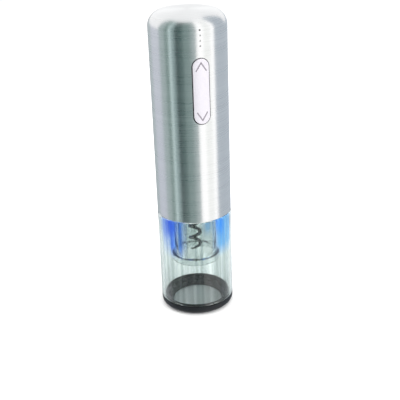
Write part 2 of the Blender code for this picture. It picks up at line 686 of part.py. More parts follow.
def neck_guide():
    """The clear cork chamber, whose bell mouth seats on the bottle's lip."""
    skirt_z = LIP_STOP_Z - LIP_SKIRT_H
    skirt_r = LIP_R + SKIRT_WALL
    flange_z = CHAMBER_TOP_Z - CHAMBER_FLANGE_H
    profile = [(LIP_R, LIP_STOP_Z), (CHAMBER_R, LIP_STOP_Z), (CHAMBER_R, CHAMBER_TOP_Z)]
    profile += [(LIP_FLANGE_R, CHAMBER_TOP_Z), (LIP_FLANGE_R, flange_z), (CHAMBER_OUTER_R, flange_z)]
    profile += [(CHAMBER_OUTER_R, LIP_STOP_Z + 3.5), (skirt_r, LIP_STOP_Z + 1.0), (skirt_r, skirt_z)]
    profile += [(LIP_R + 0.4, skirt_z), (LIP_R, skirt_z + 0.8)]
    guide = solid("neck_guide", turned(profile, INNER_ROUND), "clear_plastic")
    half = CORK_RIB_DEG / 2
    ribs = []
    for i in range(CORK_RIBS):
        angle = 45.0 + 360.0 * i / CORK_RIBS
        outline = sector(CHAMBER_R - CORK_RIB_H, CHAMBER_R + CORK_RIB_H, angle - half, angle + half, 1)
        ribs.append(plate(LIP_STOP_Z + 5.0, CHAMBER_TOP_Z - 4.0, outline))
    add(guide, "cork_ribs", *ribs)
    holes = [plate(flange_z - 1, CHAMBER_TOP_Z + 1, hole) for hole in screw_holes(GUIDE_SCREW_R)]
    cut(guide, "guide_flange_holes", *holes)


def guide_screws():
    """The screws that hang the cork chamber and the grooved tube from the frame's ledge."""
    head_z = GUIDE_HEAD_Z - SCREW_HEAD_H
    length = LEDGE_Z + LEDGE_H - 1.0 - head_z
    for number, angle in enumerate(LUG_ANGLES, 1):
        screw(f"guide_screw_{number}", (*polar(GUIDE_SCREW_R, angle), head_z), length)


def lights():
    """The ring board above the sleeve and the four lights that shine down into it."""
    inner_r = CHAMBER_OUTER_R + 1.0
    outlines = [circle(LIP_FLANGE_R, INNER_ROUND), circle(inner_r, INNER_ROUND)]
    solid("led_board", plate(LED_BOARD_Z, LED_BOARD_Z + LED_BOARD_H, *outlines), "circuit_board")
    half = LED_SIZE / 2
    middle_r = (inner_r + LIP_FLANGE_R) / 2
    for number, angle in enumerate(LED_ANGLES, 1):
        lamp = block((-half, -half, -GAP - LED_H), (half, half, -GAP))
        turn = Matrix.Rotation(radians(angle), 3, "Z")
        bmesh.ops.rotate(lamp, cent=(0, 0, 0), matrix=turn, verts=lamp.verts)
        solid(f"led_{number}", lamp, "blue_light", (*polar(middle_r, angle), LED_BOARD_Z))


def groove_cutter(start_deg):
    """A square-edged thread that runs up through the guide tube, right-handed, one lead a turn."""
    low_z = LUG_Z - WORM_TRAVEL - 0.4
    turns = (GUIDE_TOP_Z + GROOVE_H - low_z) / WORM_PITCH
    steps = ceil(turns * GUIDE_ROUND)
    first = start_deg + 360.0 * (low_z - LUG_Z) / WORM_PITCH
    inner_r, outer_r = GUIDE_BORE_R - 1.5, GUIDE_BORE_R + GROOVE_DEPTH
    section = [(inner_r, -0.5), (outer_r, -0.5), (outer_r, 0.5), (inner_r, 0.5)]
    bm = bmesh.new()
    rings = []
    for i in range(steps + 1):
        angle = first + 360.0 * i / GUIDE_ROUND
        z = low_z + WORM_PITCH * i / GUIDE_ROUND
        rings.append([bm.verts.new((*polar(r, angle), z + h * GROOVE_H)) for r, h in section])
    for ring, following in zip(rings, rings[1:]):
        for a, b, c, d in zip(ring, ring[1:] + ring[:1], following[1:] + following[:1], following):
            bm.faces.new((a, b, c, d))
    bm.faces.new(reversed(rings[0]))
    bm.faces.new(rings[-1])
    return bm


def guide_tube():
    """The fixed tube whose two helical grooves move the turning carrier down."""
    profile = [(GUIDE_BORE_R, GUIDE_FLANGE_Z), (LIP_FLANGE_R, GUIDE_FLANGE_Z)]
    profile += [(LIP_FLANGE_R, GUIDE_FLANGE_Z + FLANGE_H), (GUIDE_R, GUIDE_FLANGE_Z + FLANGE_H)]
    profile += [(GUIDE_R, GUIDE_TOP_Z - FLANGE_H), (FLANGE_R, GUIDE_TOP_Z - FLANGE_H)]
    profile += [(FLANGE_R, GUIDE_TOP_Z), (GUIDE_BORE_R, GUIDE_TOP_Z)]
    tube = solid("guide_tube", turned(profile, GUIDE_ROUND), "nylon")
    for i in range(GUIDE_STARTS):
        cut(tube, f"groove_{i}", groove_cutter(360.0 * i / GUIDE_STARTS))
    flanges = ("low", GUIDE_FLANGE_Z, GUIDE_SCREW_R), ("high", GUIDE_TOP_Z - FLANGE_H, GEAR_SCREW_R)
    for end, z, radius in flanges:
        holes = [plate(z - 1, z + FLANGE_H + 1, hole) for hole in screw_holes(radius)]
        cut(tube, f"guide_{end}_holes", *holes)


def drive_tube(parent):
    """The slotted tube that turns the worm's carrier and lets it slide."""
    bore = DRIVE_TUBE_R - DRIVE_TUBE_WALL
    profile = [(bore, DRIVE_BOTTOM_Z), (DRIVE_TUBE_R, DRIVE_BOTTOM_Z), (DRIVE_TUBE_R, DRIVE_TOP_Z)]
    profile += [(0, DRIVE_TOP_Z), (0, DRIVE_DISC_Z), (bore, DRIVE_DISC_Z)]
    tube = solid("drive_tube", turned(profile, GUIDE_ROUND), "gear_steel", parent=parent)
    half = CARRIER_LUG_W / 2 + GAP
    slot_top = LUG_Z + CARRIER_LUG_H / 2 + GAP
    cut(tube, "drive_slots", block((-GUIDE_R, -half, DRIVE_BOTTOM_Z - 1), (GUIDE_R, half, slot_top)))
    side = SQUARE / 2 + GAP
    cut(tube, "drive_square", block((-side, -side, DRIVE_DISC_Z - 1), (side, side, DRIVE_TOP_Z + 1)))


def worm_carrier(parent):
    """The block that holds the worm's shank, with a lug in each groove."""
    bottom = CARRIER_TOP_Z - CARRIER_H
    profile = [(WORM_WIRE_R + GAP, bottom), (CARRIER_R - 0.6, bottom), (CARRIER_R, bottom + 0.6)]
    profile += [(CARRIER_R, CARRIER_TOP_Z), (WORM_WIRE_R + GAP, CARRIER_TOP_Z)]
    carrier = solid("worm_carrier", turned(profile, GUIDE_ROUND), "gear_steel", parent=parent)
    low, high = LUG_Z - CARRIER_LUG_H / 2, LUG_Z + CARRIER_LUG_H / 2
    half = CARRIER_LUG_W / 2
    inner = CARRIER_R / 2
    left = block((-CARRIER_LUG_R, -half, low), (-inner, half, high))
    right = block((inner, -half, low), (CARRIER_LUG_R, half, high))
    add(carrier, "carrier_lugs", left, right)


def worm(parent):
    """The coated steel screw: a straight shank, an open right-handed coil and a sharp tip."""
    shank_top = CARRIER_TOP_Z - GAP
    coil_top = CARRIER_TOP_Z - CARRIER_H - 2.0
    blend = 0.75 * WORM_PITCH
    step_z = WORM_PITCH / 12
    steps = round((coil_top - WORM_TIP_Z) / step_z)
    curve = bpy.data.curves.new("worm", "CURVE")
    curve.dimensions = "3D"
    curve.bevel_depth = WORM_WIRE_R * MM
    curve.bevel_resolution = 2
    curve.use_fill_caps = True
    spline = curve.splines.new("POLY")
    spline.points.add(steps + 1)
    spline.points[0].co = (0, 0, shank_top * MM, 1)
    for i in range(steps + 1):
        fallen = (coil_top - WORM_TIP_Z) * i / steps
        out = min(1.0, fallen / blend)
        r = WORM_COIL_R * out * out * (3 - 2 * out)
        angle = -360.0 * fallen / WORM_PITCH
        left = (coil_top - WORM_TIP_Z - fallen) / (0.6 * WORM_PITCH)
        spline.points[i + 1].co = (*(Vector((*polar(r, angle), coil_top - fallen)) * MM), 1)
        spline.points[i + 1].radius = max(0.08, min(1.0, left) ** 0.7)
    curve.materials.append(finish("worm_coating"))
    obj = bpy.data.objects.new("worm", curve)
    obj.parent = parent
    bpy.context.scene.collection.objects.link(obj)


def gearbox_base():
    """The plate under the gearbox, its bronze bush and the three screws into the guide tube."""
    bush_r = STUB_R + GAP + BUSH_WALL
    top = BASE_Z + BASE_H
    around_bush = circle(bush_r + GAP, INNER_ROUND)
    base = plate(BASE_Z, top, circle(FLANGE_R, INNER_ROUND), around_bush, *screw_holes(GEAR_SCREW_R))
    solid("gearbox_base", base, "nylon")
    bush = plate(BASE_Z, top, circle(bush_r, INNER_ROUND), circle(STUB_R + GAP, INNER_ROUND))
    solid("output_bush", bush, "bronze")
    head_z = STAGE_2_PLATE_Z + FLANGE_H + GAP + SCREW_HEAD_H
    length = head_z - GUIDE_TOP_Z + FLANGE_H - GAP
    down = Matrix.Rotation(pi, 3, "X")
    for number, angle in enumerate(LUG_ANGLES, 1):
        screw(f"gearbox_screw_{number}", (*polar(GEAR_SCREW_R, angle), head_z), length, down)


def gear_case():
    """The case, whose bore is the ring gear of both stages."""
    bottom, top = STAGE_2_PLATE_Z, MOTOR_PLATE_Z - GAP
    gaps = gear_outline(RING_TEETH, DEDENDUM, ADDENDUM, -BACKLASH, 180.0 / RING_TEETH)
    case = solid("gear_case", plate(bottom, top, circle(GEAR_CASE_R, INNER_ROUND), gaps), "nylon")
    inside = circle((GEAR_CASE_R + MODULE * (RING_TEETH / 2 + DEDENDUM)) / 2, INNER_ROUND)
    outlines = circle(FLANGE_R, INNER_ROUND), inside, *screw_holes(GEAR_SCREW_R)
    add(case, "case_flange", plate(bottom, bottom + FLANGE_H, *outlines))


def planet_pins(low, high):
    """The three pins of a carrier."""
    return [plate(low, high, circle(PIN_R, TINY_ROUND, polar(ORBIT_R, angle))) for angle in PLANET_ANGLES]


def stage_2_carrier(parent):
    """The output carrier: planet pins above, a journal in the bush and a square end in the drive tube."""
    top = STAGE_2_PLATE_Z + PLATE_H
    disc = plate(STAGE_2_PLATE_Z, top, circle(STAGE_PLATE_R, INNER_ROUND))
    carrier = solid("stage_2_carrier", disc, "gear_steel", parent=parent)
    journal = plate(GUIDE_TOP_Z, STAGE_2_PLATE_Z + 1, circle(STUB_R, INNER_ROUND))
    add(carrier, "stage_2_pins", *planet_pins(top - 1, STAGE_2_Z + STAGE_2_H), journal)
    half = SQUARE / 2
    square = block((-half, -half, DRIVE_DISC_Z + 0.2), (half, half, GUIDE_TOP_Z + 1))
    add(carrier, "stage_2_square", square)


def stage_1_carrier(parent):
    """The first stage's carrier, with the second stage's sun gear cut on its underside."""
    top = STAGE_1_PLATE_Z + PLATE_H
    disc = plate(STAGE_1_PLATE_Z, top, circle(STAGE_PLATE_R, INNER_ROUND))
    carrier = solid("stage_1_carrier", disc, "gear_steel", parent=parent)
    sun = plate(STAGE_2_Z, STAGE_1_PLATE_Z + 1, gear_outline(SUN_TEETH, ADDENDUM, DEDENDUM, BACKLASH))
    add(carrier, "stage_1_pins_and_sun", *planet_pins(top - 1, STAGE_1_Z + STAGE_1_H), sun)


def planets(stage, low, height, parent):
    """Three planets, each turned so that a gap faces the sun's tooth and the ring's tooth."""
    for number, angle in enumerate(PLANET_ANGLES, 1):
        x, y = polar(ORBIT_R, angle)
        outline = gear_outline(PLANET_TEETH, ADDENDUM, DEDENDUM, BACKLASH, angle - 180.0 / PLANET_TEETH)
        gear = plate(0, height, outline, circle(PIN_R + GAP, TINY_ROUND))
        solid(f"stage_{stage}_planet_{number}", gear, "gear_steel", (x, y, low), parent)


def motor():
    """The flat-sided can motor with its end bell and two magnets, on its mounting plate."""
    screw_xs = (-MOTOR_SCREW_X, MOTOR_SCREW_X)
    holes = [circle(SCREW_R + GAP, SMALL_ROUND, (x, 0)) for x in screw_xs]
    shaft_hole = circle(SHAFT_R + GAP, SMALL_ROUND)
    boss_hole = circle(MOTOR_BOSS_R + GAP, BOSS_ROUND)
    top = MOTOR_PLATE_Z + MOTOR_PLATE_H
    mount = plate(MOTOR_PLATE_Z, top, circle(GEAR_CASE_R, INNER_ROUND), boss_hole, *holes)
    solid("motor_plate", mount, "nylon")
    can = solid("motor_can", plate(MOTOR_Z, MOTOR_TOP_Z, flatted(MOTOR_R, MOTOR_FLAT)), "zinc_steel")
    hollow = flatted(MOTOR_R - MOTOR_WALL, MOTOR_FLAT - MOTOR_WALL)
    cut(can, "can_hollow", plate(MOTOR_Z + MOTOR_WALL, MOTOR_TOP_Z + 1, hollow))
    add(can, "can_boss", plate(MOTOR_PLATE_Z + 0.4, MOTOR_Z + 0.5, circle(MOTOR_BOSS_R, BOSS_ROUND)))
    through = [plate(MOTOR_PLATE_Z - 1, MOTOR_Z + MOTOR_WALL + 1, hole) for hole in (shaft_hole, *holes)]
    cut(can, "can_holes", *through)
    head_z = MOTOR_PLATE_Z - GAP - MOTOR_SCREW_HEAD_H
    sizes = {"head_r": MOTOR_SCREW_HEAD_R, "head_h": MOTOR_SCREW_HEAD_H, "shank_r": MOTOR_SHANK_R}
    for number, x in enumerate(screw_xs, 1):
        screw(f"motor_screw_{number}", (x, 0, head_z), MOTOR_Z + MOTOR_WALL + 0.8 - head_z, **sizes)
    for number, middle in enumerate((0, 180), 1):
        ends = middle - MAGNET_DEG / 2, middle + MAGNET_DEG / 2
        magnet = plate(STACK_LOW_Z, STACK_HIGH_Z, sector(MAGNET_R - MAGNET_WALL, MAGNET_R, *ends, 8))
        solid(f"motor_magnet_{number}", magnet, "magnet_ferrite")
    bell_top = BELL_Z + BELL_H
    bell = plate(BELL_Z, bell_top, flatted(MOTOR_R - GAP, MOTOR_FLAT - GAP), shaft_hole)
    bell = solid("motor_end_bell", bell, "black_plastic")
    bearing = plate(BELL_Z + 1, bell_top + BEARING_H, circle(MOTOR_BOSS_R, BOSS_ROUND), shaft_hole)
    add(bell, "bell_bearing", bearing)


def rotor(parent):
    """The wound armature on its shaft, and the pinion that drives the first stage."""
    low, high = STACK_LOW_Z, STACK_HIGH_Z
    winding_r, winding_h = 0.82 * ARMATURE_R, 2.5
    stack_low, stack_high = low + winding_h, high - winding_h
    commutator_top = MOTOR_TOP_Z - 0.8
    shaft_top = BELL_Z + BELL_H + 1.0
    profile = [(0, STAGE_1_Z), (SHAFT_R, STAGE_1_Z), (SHAFT_R, low), (winding_r, low)]
    profile += [(winding_r, stack_low), (ARMATURE_R, stack_low), (ARMATURE_R, stack_high)]
    profile += [(winding_r, stack_high), (winding_r, high), (COMMUTATOR_R, high)]
    profile += [(COMMUTATOR_R, commutator_top), (SHAFT_R, commutator_top)]
    profile += [(SHAFT_R, shaft_top), (0, shaft_top)]
    solid("armature", turned(profile, BOSS_ROUND), "copper_winding", parent=parent)
    teeth = gear_outline(SUN_TEETH, ADDENDUM, DEDENDUM, BACKLASH)
    pinion = plate(STAGE_1_Z, MOTOR_PLATE_Z - GAP, teeth, circle(SHAFT_R + GAP, SMALL_ROUND))
    solid("motor_pinion", pinion, "bronze", parent=parent)


def battery():
    """Two slim rechargeable cells behind the motor, standing in a moulded holder."""
    back = arc(0.0, 0.0, CHASSIS_BORE_R - GAP, 90 - HOLDER_SPREAD_DEG, 90 + HOLDER_SPREAD_DEG, 8)
    front_y = MOTOR_FLAT + 0.5
    outline = back + [(-HOLDER_HALF_W, front_y), (HOLDER_HALF_W, front_y)]
    holder = solid("battery_holder", plate(MOTOR_Z, MOTOR_Z + HOLDER_H, outline), "black_plastic")
    top = CELL_H + CELL_NUB_H
    edge = CELL_EDGE
    inner = CELL_R - edge
    for number, x in enumerate((-CELL_X, CELL_X), 1):
        hole = circle(CELL_R + GAP, INNER_ROUND, (x, CELL_Y))
        pocket = plate(MOTOR_Z + HOLDER_FLOOR, MOTOR_Z + HOLDER_H + 1, hole)
        cut(holder, f"holder_pocket_{number}", pocket)
        profile = [(0, 0), (inner, 0), (CELL_R, edge), (CELL_R, CELL_H - edge), (inner, CELL_H)]
        profile += [(CELL_NUB_R, CELL_H), (CELL_NUB_R, top), (0, top)]
        solid(f"battery_cell_{number}", turned(profile, INNER_ROUND), "cell_wrap", (x, CELL_Y, CELL_Z))


def control_board():
    """The board behind the rocker, with its chips on the motor side."""
    half, back = BOARD_W / 2, BOARD_BACK_Y
    board = block((-half, BOARD_Y, BOARD_BOTTOM_Z), (half, back, BOARD_TOP_Z))
    board = solid("control_board", board, "circuit_board")
    low, root = BOARD_BOTTOM_Z, back - 0.5
    controller = block((-3.0, root, low + 4.5), (3.0, back + 1.0, low + 10.5))
    switch_chip = block((-7.5, root, low + 24.5), (-1.5, back + 3.6, low + 29.5))
    capacitor = plate(low + 18.5, low + 36.5, circle(2.1, SMALL_ROUND, (4.5, back + 1.9)))
    front, inner = BOARD_Y - 0.9, BOARD_Y + 0.5
    indicators = [block((-1.0, front, z - 0.7), (1.0, inner, z + 0.7)) for z in light_heights()]
    add(board, "board_parts", controller, switch_chip, capacitor, *indicators)


def rocker_button(parent):
    """The capsule-shaped rocker, with a boss for its pin and a leg over each dome of the pad."""
    back = ROCKER_BACK_Y - ROCKER_PIN_Y
    slab = along_y(plate(-BODY_R - 2 - ROCKER_PIN_Y, back, capsule(ROCKER_W / 2, ROCKER_L / 2)))
    rocker = solid("rocker_button", slab, "satin_silver", parent=parent)
    crown = plate(-ROCKER_L, ROCKER_L, circle(BODY_R + ROCKER_PROUD, 2 * ROUND, (0, -ROCKER_PIN_Y)))
    keep_inside(rocker, "rocker_crown", crown)
    root = back - 0.5
    boss_x, boss_z = ROCKER_W / 2 - 0.8, 2.0
    boss = block((-boss_x, root, -boss_z), (boss_x, 1.4, boss_z))
    leg_x, leg_z = 1.5, 1.2
    legs = [block((-leg_x, root, z - leg_z), (leg_x, ROCKER_LEG_REACH, z + leg_z))
            for z in (-ROCKER_LEG_Z, ROCKER_LEG_Z)]
    add(rocker, "rocker_boss", boss, *legs)
    pin_hole = along_x(plate(-ROCKER_W, ROCKER_W, circle(ROCKER_PIN_R + GAP, SMALL_ROUND)))
    cut(rocker, "rocker_pin_hole", pin_hole)


def rocker_mount():
    """The bezel behind the steel, the pin that the rocker tips on, and the silicone pad with two domes."""
    at = (0, 0, ROCKER_Z)
    outer = capsule(BEZEL_HALF_W, BEZEL_HALF_L)
    rim = along_y(plate(-BODY_R - 1, BEZEL_BACK_Y, outer, capsule(BEZEL_BORE_W, BEZEL_BORE_L)))
    bezel = solid("rocker_bezel", rim, "black_plastic", at)
    keep_inside(bezel, "bezel_crown", plate(-BODY_D, BODY_D, circle(CHASSIS_R, ROUND)), at=at)
    lip_outer = capsule(BEZEL_HALF_W + BEZEL_LIP, BEZEL_HALF_L + BEZEL_LIP)
    lip_inner = capsule(BEZEL_BORE_W + BEZEL_WALL / 2, BEZEL_BORE_L + BEZEL_WALL / 2)
    add(bezel, "bezel_lip", along_y(plate(BEZEL_LIP_Y, BEZEL_BACK_Y, lip_outer, lip_inner)), at=at)
    pin_at = (0, ROCKER_PIN_Y, ROCKER_Z)
    pin_hole = along_x(plate(-BODY_R, BODY_R, circle(ROCKER_PIN_R + GAP, SMALL_ROUND)))
    cut(bezel, "bezel_pin_hole", pin_hole, at=pin_at)
    pin_half = BEZEL_HALF_W - GAP
    pin = along_x(plate(-pin_half, pin_half, circle(ROCKER_PIN_R, SMALL_ROUND)))
    solid("rocker_pin", pin, "gear_steel", pin_at)
    front = BOARD_Y - GAP
    low = (-PAD_HALF_W, front - PAD_H, ROCKER_Z - PAD_HALF_L)
    high = (PAD_HALF_W, front, ROCKER_Z + PAD_HALF_L)
    pad = solid("dome_pad", block(low, high), "silicone")
    heights = ROCKER_Z - ROCKER_LEG_Z, ROCKER_Z + ROCKER_LEG_Z
    domes = [rod_y(DOME_R, front - DOME_H, front - PAD_H / 2, 0, z) for z in heights]
    add(pad, "domes", *domes)


def indicator_light_guide():
    """The clear bar behind the steel with one peg in each light's hole."""
    heights = light_heights()
    front = LIGHT_BAR_INSET - BODY_R
    low = (-LIGHT_BAR_HALF_W, front, heights[-1] - 2.0)
    high = (LIGHT_BAR_HALF_W, front + LIGHT_BAR_H, heights[0] + 1.1)
    guide = solid("indicator_light_guide", block(low, high), "clear_plastic")
    pegs = [rod_y(LIGHT_R, GAP - BODY_R, front + 1.0, 0, z, TINY_ROUND) for z in heights]
    add(guide, "light_pegs", *pegs)


def charging():
    """The charging jack in the handle's back and its small board."""
    front = GUIDE_R + 2.5 * GAP
    start = front + CHARGE_BOARD_H + GAP
    end = BODY_R - JACK_INSET
    low = (-CHARGE_BOARD_HALF_W, front, CHARGE_Z - 8)
    high = (CHARGE_BOARD_HALF_W, front + CHARGE_BOARD_H, CHARGE_Z + 20)
    solid("charge_board", block(low, high), "circuit_board")
    case = block((-JACK_HALF, start, CHARGE_Z - JACK_HALF), (JACK_HALF, end, CHARGE_Z + JACK_HALF))
    jack = solid("charge_socket", case, "black_plastic")
    add(jack, "jack_barrel", rod_y(JACK_R, end - 0.4, BODY_R - GAP, 0, CHARGE_Z))
    bore = circle(JACK_BORE_R, SMALL_ROUND), circle(JACK_PIN_R, TINY_ROUND)
    hollow = along_y(plate(start + 1.5, BODY_R + 1, *bore))
    bmesh.ops.translate(hollow, vec=(0, 0, CHARGE_Z), verts=hollow.verts)
    cut(jack, "jack_bore", hollow)


def leads():
    """The leads from the motor's terminals and from the cells to the board."""
    board = BOARD_BACK_Y + 0.4
    terminal = BELL_Z + BELL_H
    for name, x, look in (("motor_lead_red", 6.0, "red_wire"), ("motor_lead_black", -6.0, "black_wire")):
        points = [(x, 0, terminal + 0.4), (x, -0.5, terminal + 2.5), (x, -5, terminal + 4.5)]
        points += [(0.9 * x, -10.5, terminal + 4.0), (0.8 * x, board + 1.4, terminal + 2.6)]
        points += [(0.8 * x, board, terminal + 2.4)]
        lead(name, points, look)
    top = CELL_Z + CELL_H + CELL_NUB_H
    points = [(CELL_X, CELL_Y - 1, top + 0.8), (4.5, 9, top + 2.4), (2, 0, top + 2.6)]
    points += [(0.5, -8, top + 1.4), (0, board + 2.1, top - 2.2), (0, board, top - 3.7)]
    lead("battery_lead", points, "red_wire")


def build():
    clear_scene()
    body_shell()
    chassis_half("chassis_front", -1)
    chassis_half("chassis_back", 1)
    chassis_screws()
    sleeve_axis = axis_empty("sleeve_axis")
    clear_sleeve(sleeve_axis)
    foot_ring(sleeve_axis)
    neck_guide()
    guide_screws()
    lights()
    guide_tube()
    drive_axis = axis_empty("drive_axis")
    drive_tube(drive_axis)
    stage_2_carrier(drive_axis)
    worm_carrier(drive_axis)
    worm(drive_axis)
    gearbox_base()
    gear_case()
    planets(2, STAGE_2_Z, STAGE_2_H - GAP, drive_axis)
    stage_1_axis = axis_empty("stage_1_axis")
    stage_1_carrier(stage_1_axis)
    planets(1, STAGE_1_Z, STAGE_1_H - GAP, stage_1_axis)
    motor()
    rotor(axis_empty("rotor_axis"))
    battery()
    control_board()
    rocker_button(axis_empty("rocker_axis", (0, ROCKER_PIN_Y, ROCKER_Z)))
    rocker_mount()
    indicator_light_guide()
    charging()
    leads()


build()
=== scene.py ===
"""The looks of an electric wine opener: a brushed steel handle over a clear sleeve lit blue from above."""

from math import atan2, cos, degrees, pi, radians, sin

import bpy
from mathutils import Matrix, Vector


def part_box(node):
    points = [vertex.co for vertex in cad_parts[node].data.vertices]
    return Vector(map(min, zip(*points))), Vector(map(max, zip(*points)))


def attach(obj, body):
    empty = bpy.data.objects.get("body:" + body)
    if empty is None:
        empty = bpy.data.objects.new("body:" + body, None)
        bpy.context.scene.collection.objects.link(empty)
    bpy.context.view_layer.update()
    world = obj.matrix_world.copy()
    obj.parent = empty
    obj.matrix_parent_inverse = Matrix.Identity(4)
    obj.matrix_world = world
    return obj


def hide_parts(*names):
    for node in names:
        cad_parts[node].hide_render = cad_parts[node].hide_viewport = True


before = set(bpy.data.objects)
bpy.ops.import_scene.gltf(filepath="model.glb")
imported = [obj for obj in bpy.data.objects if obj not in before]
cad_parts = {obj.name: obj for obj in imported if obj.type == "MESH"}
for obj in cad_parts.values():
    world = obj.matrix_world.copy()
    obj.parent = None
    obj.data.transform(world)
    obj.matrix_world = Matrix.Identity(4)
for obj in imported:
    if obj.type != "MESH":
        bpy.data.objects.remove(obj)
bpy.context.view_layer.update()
MM = 0.001


# ---------------------------------------------------------------------------
# The camera: eye height, distance and lens of a hand-held product picture, a little above the opener and
# turned so that the rocker shows right of the middle. It leans a little, so the handle leans to the left.
CAMERA_LENS, CAMERA_NEAR, CAMERA_FAR = 74.0, 0.01, 20.0
CAMERA_AZIMUTH, CAMERA_PITCH, CAMERA_YAW, CAMERA_ROLL = radians(-17.0), radians(23.64), 0.008, -0.035
CAMERA_DISTANCE, CAMERA_HEIGHT = 0.5133, 0.3003
camera_data = bpy.data.cameras.new("camera")
camera_data.lens = CAMERA_LENS
camera_data.clip_start = CAMERA_NEAR
camera_data.clip_end = CAMERA_FAR
camera = bpy.data.objects.new("camera", camera_data)
bpy.context.scene.collection.objects.link(camera)
bpy.context.scene.camera = camera
turn = Matrix.Rotation(CAMERA_AZIMUTH, 4, "Z")
aim = Matrix.Rotation(-CAMERA_YAW, 4, "Z") @ Matrix.Rotation(pi / 2 - CAMERA_PITCH, 4, "X")
lean = Matrix.Rotation(CAMERA_ROLL, 4, "Z")
camera.matrix_world = turn @ Matrix.Translation((0, -CAMERA_DISTANCE, CAMERA_HEIGHT)) @ aim @ lean
bpy.context.scene.view_settings.view_transform = "Standard"


# ---------------------------------------------------------------------------
# The studio: a pale floor under an even white sky, a soft lamp above and one at each side.
FLOOR_SIZE, FLOOR_Z = 6.0, -0.2 * MM
SKY_STRENGTH = 0.95
LAMP_LENGTH, LAMP_TARGET = 0.7, Vector((0, 0, 0.1))


def material(name):
    """A new material, with its tree and its Principled shader."""
    made = bpy.data.materials.new(name)
    made.use_nodes = True
    return made, made.node_tree, made.node_tree.nodes["Principled BSDF"]


bpy.ops.object.select_all(action="DESELECT")
bpy.ops.mesh.primitive_plane_add(size=FLOOR_SIZE, location=(0, 0, FLOOR_Z))
floor = bpy.context.object
floor.name = "floor"
paper, tree, shader = material("studio_paper")
shader.inputs["Base Color"].default_value = (0.90, 0.90, 0.90, 1)
shader.inputs["Roughness"].default_value = 0.9
shader.inputs["Specular IOR Level"].default_value = 0.1
floor.data.materials.append(paper)
floor.visible_glossy = False

world = bpy.data.worlds.new("studio")
bpy.context.scene.world = world
world.use_nodes = True
sky = world.node_tree.nodes["Background"]
sky.inputs["Color"].default_value = (1.0, 1.0, 1.0, 1)
sky.inputs["Strength"].default_value = SKY_STRENGTH


def lamp(name, azimuth, distance, height, width, power):
    """A soft lamp that faces the opener's middle. Its azimuth is counted from the camera, to the right."""
    data = bpy.data.lights.new(name, "AREA")
    data.shape = "RECTANGLE"
    data.size = width
    data.size_y = LAMP_LENGTH
    data.energy = power
    obj = bpy.data.objects.new(name, data)
    bpy.context.scene.collection.objects.link(obj)
    angle = CAMERA_AZIMUTH - pi / 2 + radians(azimuth)
    obj.location = (distance * cos(angle), distance * sin(angle), height)
    obj.rotation_euler = (LAMP_TARGET - obj.location).to_track_quat("-Z", "Y").to_euler()
    obj.visible_glossy = False
    return obj


lamp("overhead_lamp", 180, 0.25, 1.1, 1.2, 9)
lamp("right_lamp", 55, 0.9, 0.5, 0.5, 6)
lamp("left_lamp", -70, 0.9, 0.4, 0.5, 4)


# Only reflections show what stands round the opener: a bright tent over the whole set, and inside it a ring
# of cards. Each card runs from one azimuth to another, counted from the camera to the right, and has its own
# height and tone.
CARD_DISTANCE, CARD_BOTTOM, LOW, TALL, CARD_FACETS = 0.9, -1.0, 0.22, 1.9, 12
TENT_R, TENT_TONE = 3.5, (1.11, 1.12, 1.13)
CARDS = [
    (-180.0, -157.6, LOW, (0.25, 0.28, 0.30)), (-157.6, -129.4, LOW, (0.47, 0.54, 0.56)),
    (-129.4, -90.5, LOW, (0.62, 0.66, 0.74)), (-90.5, -70.0, TALL, (0.40, 0.49, 0.49)),
    (-70.0, -57.0, TALL, (0.20, 0.29, 0.27)), (-57.0, -49.6, TALL, (0.75, 0.92, 0.92)),
    (-49.6, -37.7, TALL, (0.27, 0.37, 0.37)), (-37.7, -28.3, TALL, (0.03, 0.06, 0.06)),
    (-28.3, -14.7, TALL, (0.09, 0.15, 0.145)), (-14.7, 7.4, TALL, (0.22, 0.31, 0.30)),
    (7.4, 23.2, TALL, (0.40, 0.48, 0.48)), (23.2, 44.2, TALL, (1.35, 1.35, 1.35)),
    (44.2, 66.5, TALL, (1.10, 1.12, 1.10)), (66.5, 79.1, TALL, (1.40, 1.40, 1.40)),
    (79.1, 130.0, TALL, (0.52, 0.58, 0.64)), (130.0, 180.0, LOW, (0.52, 0.58, 0.64)),
]


def reflector(card, tone):
    """Makes a sheet glow in one tone, for reflections only."""
    shine, tree, shader = material(card.name)
    tree.nodes.remove(shader)
    emission = tree.nodes.new("ShaderNodeEmission")
    emission.inputs["Color"].default_value = (*tone, 1)
    tree.links.new(emission.outputs[0], tree.nodes["Material Output"].inputs["Surface"])
    shine.cycles.emission_sampling = "NONE"
    card.data.materials.append(shine)
    card.visible_camera = False
    card.visible_diffuse = False
    card.visible_shadow = False
    card.visible_transmission = False


bpy.ops.object.select_all(action="DESELECT")
bpy.ops.mesh.primitive_uv_sphere_add(segments=48, ring_count=24, radius=TENT_R)
bpy.context.object.name = "reflector_tent"
reflector(bpy.context.object, TENT_TONE)

for number, (first, last, top, tone) in enumerate(CARDS):
    bpy.ops.object.select_all(action="DESELECT")
    bpy.ops.mesh.primitive_plane_add(size=1.0)
    card = bpy.context.object
    card.name = f"reflector_card_{number}"
    start = CAMERA_AZIMUTH - pi / 2 + radians(first)
    width = radians(last - first)
    bpy.ops.object.mode_set(mode="EDIT")
    bpy.ops.mesh.select_all(action="SELECT")
    bpy.ops.mesh.merge(type="CENTER")
    bpy.ops.transform.translate(value=(CARD_DISTANCE * cos(start), CARD_DISTANCE * sin(start), CARD_BOTTOM))
    bpy.ops.mesh.extrude_region_move(TRANSFORM_OT_translate={"value": (0, 0, top - CARD_BOTTOM)})
    bpy.ops.mesh.select_all(action="SELECT")
    bpy.ops.mesh.spin(steps=CARD_FACETS, angle=-width, center=(0, 0, 0), axis=(0, 0, 1))
    bpy.ops.object.mode_set(mode="OBJECT")
    reflector(card, tone)


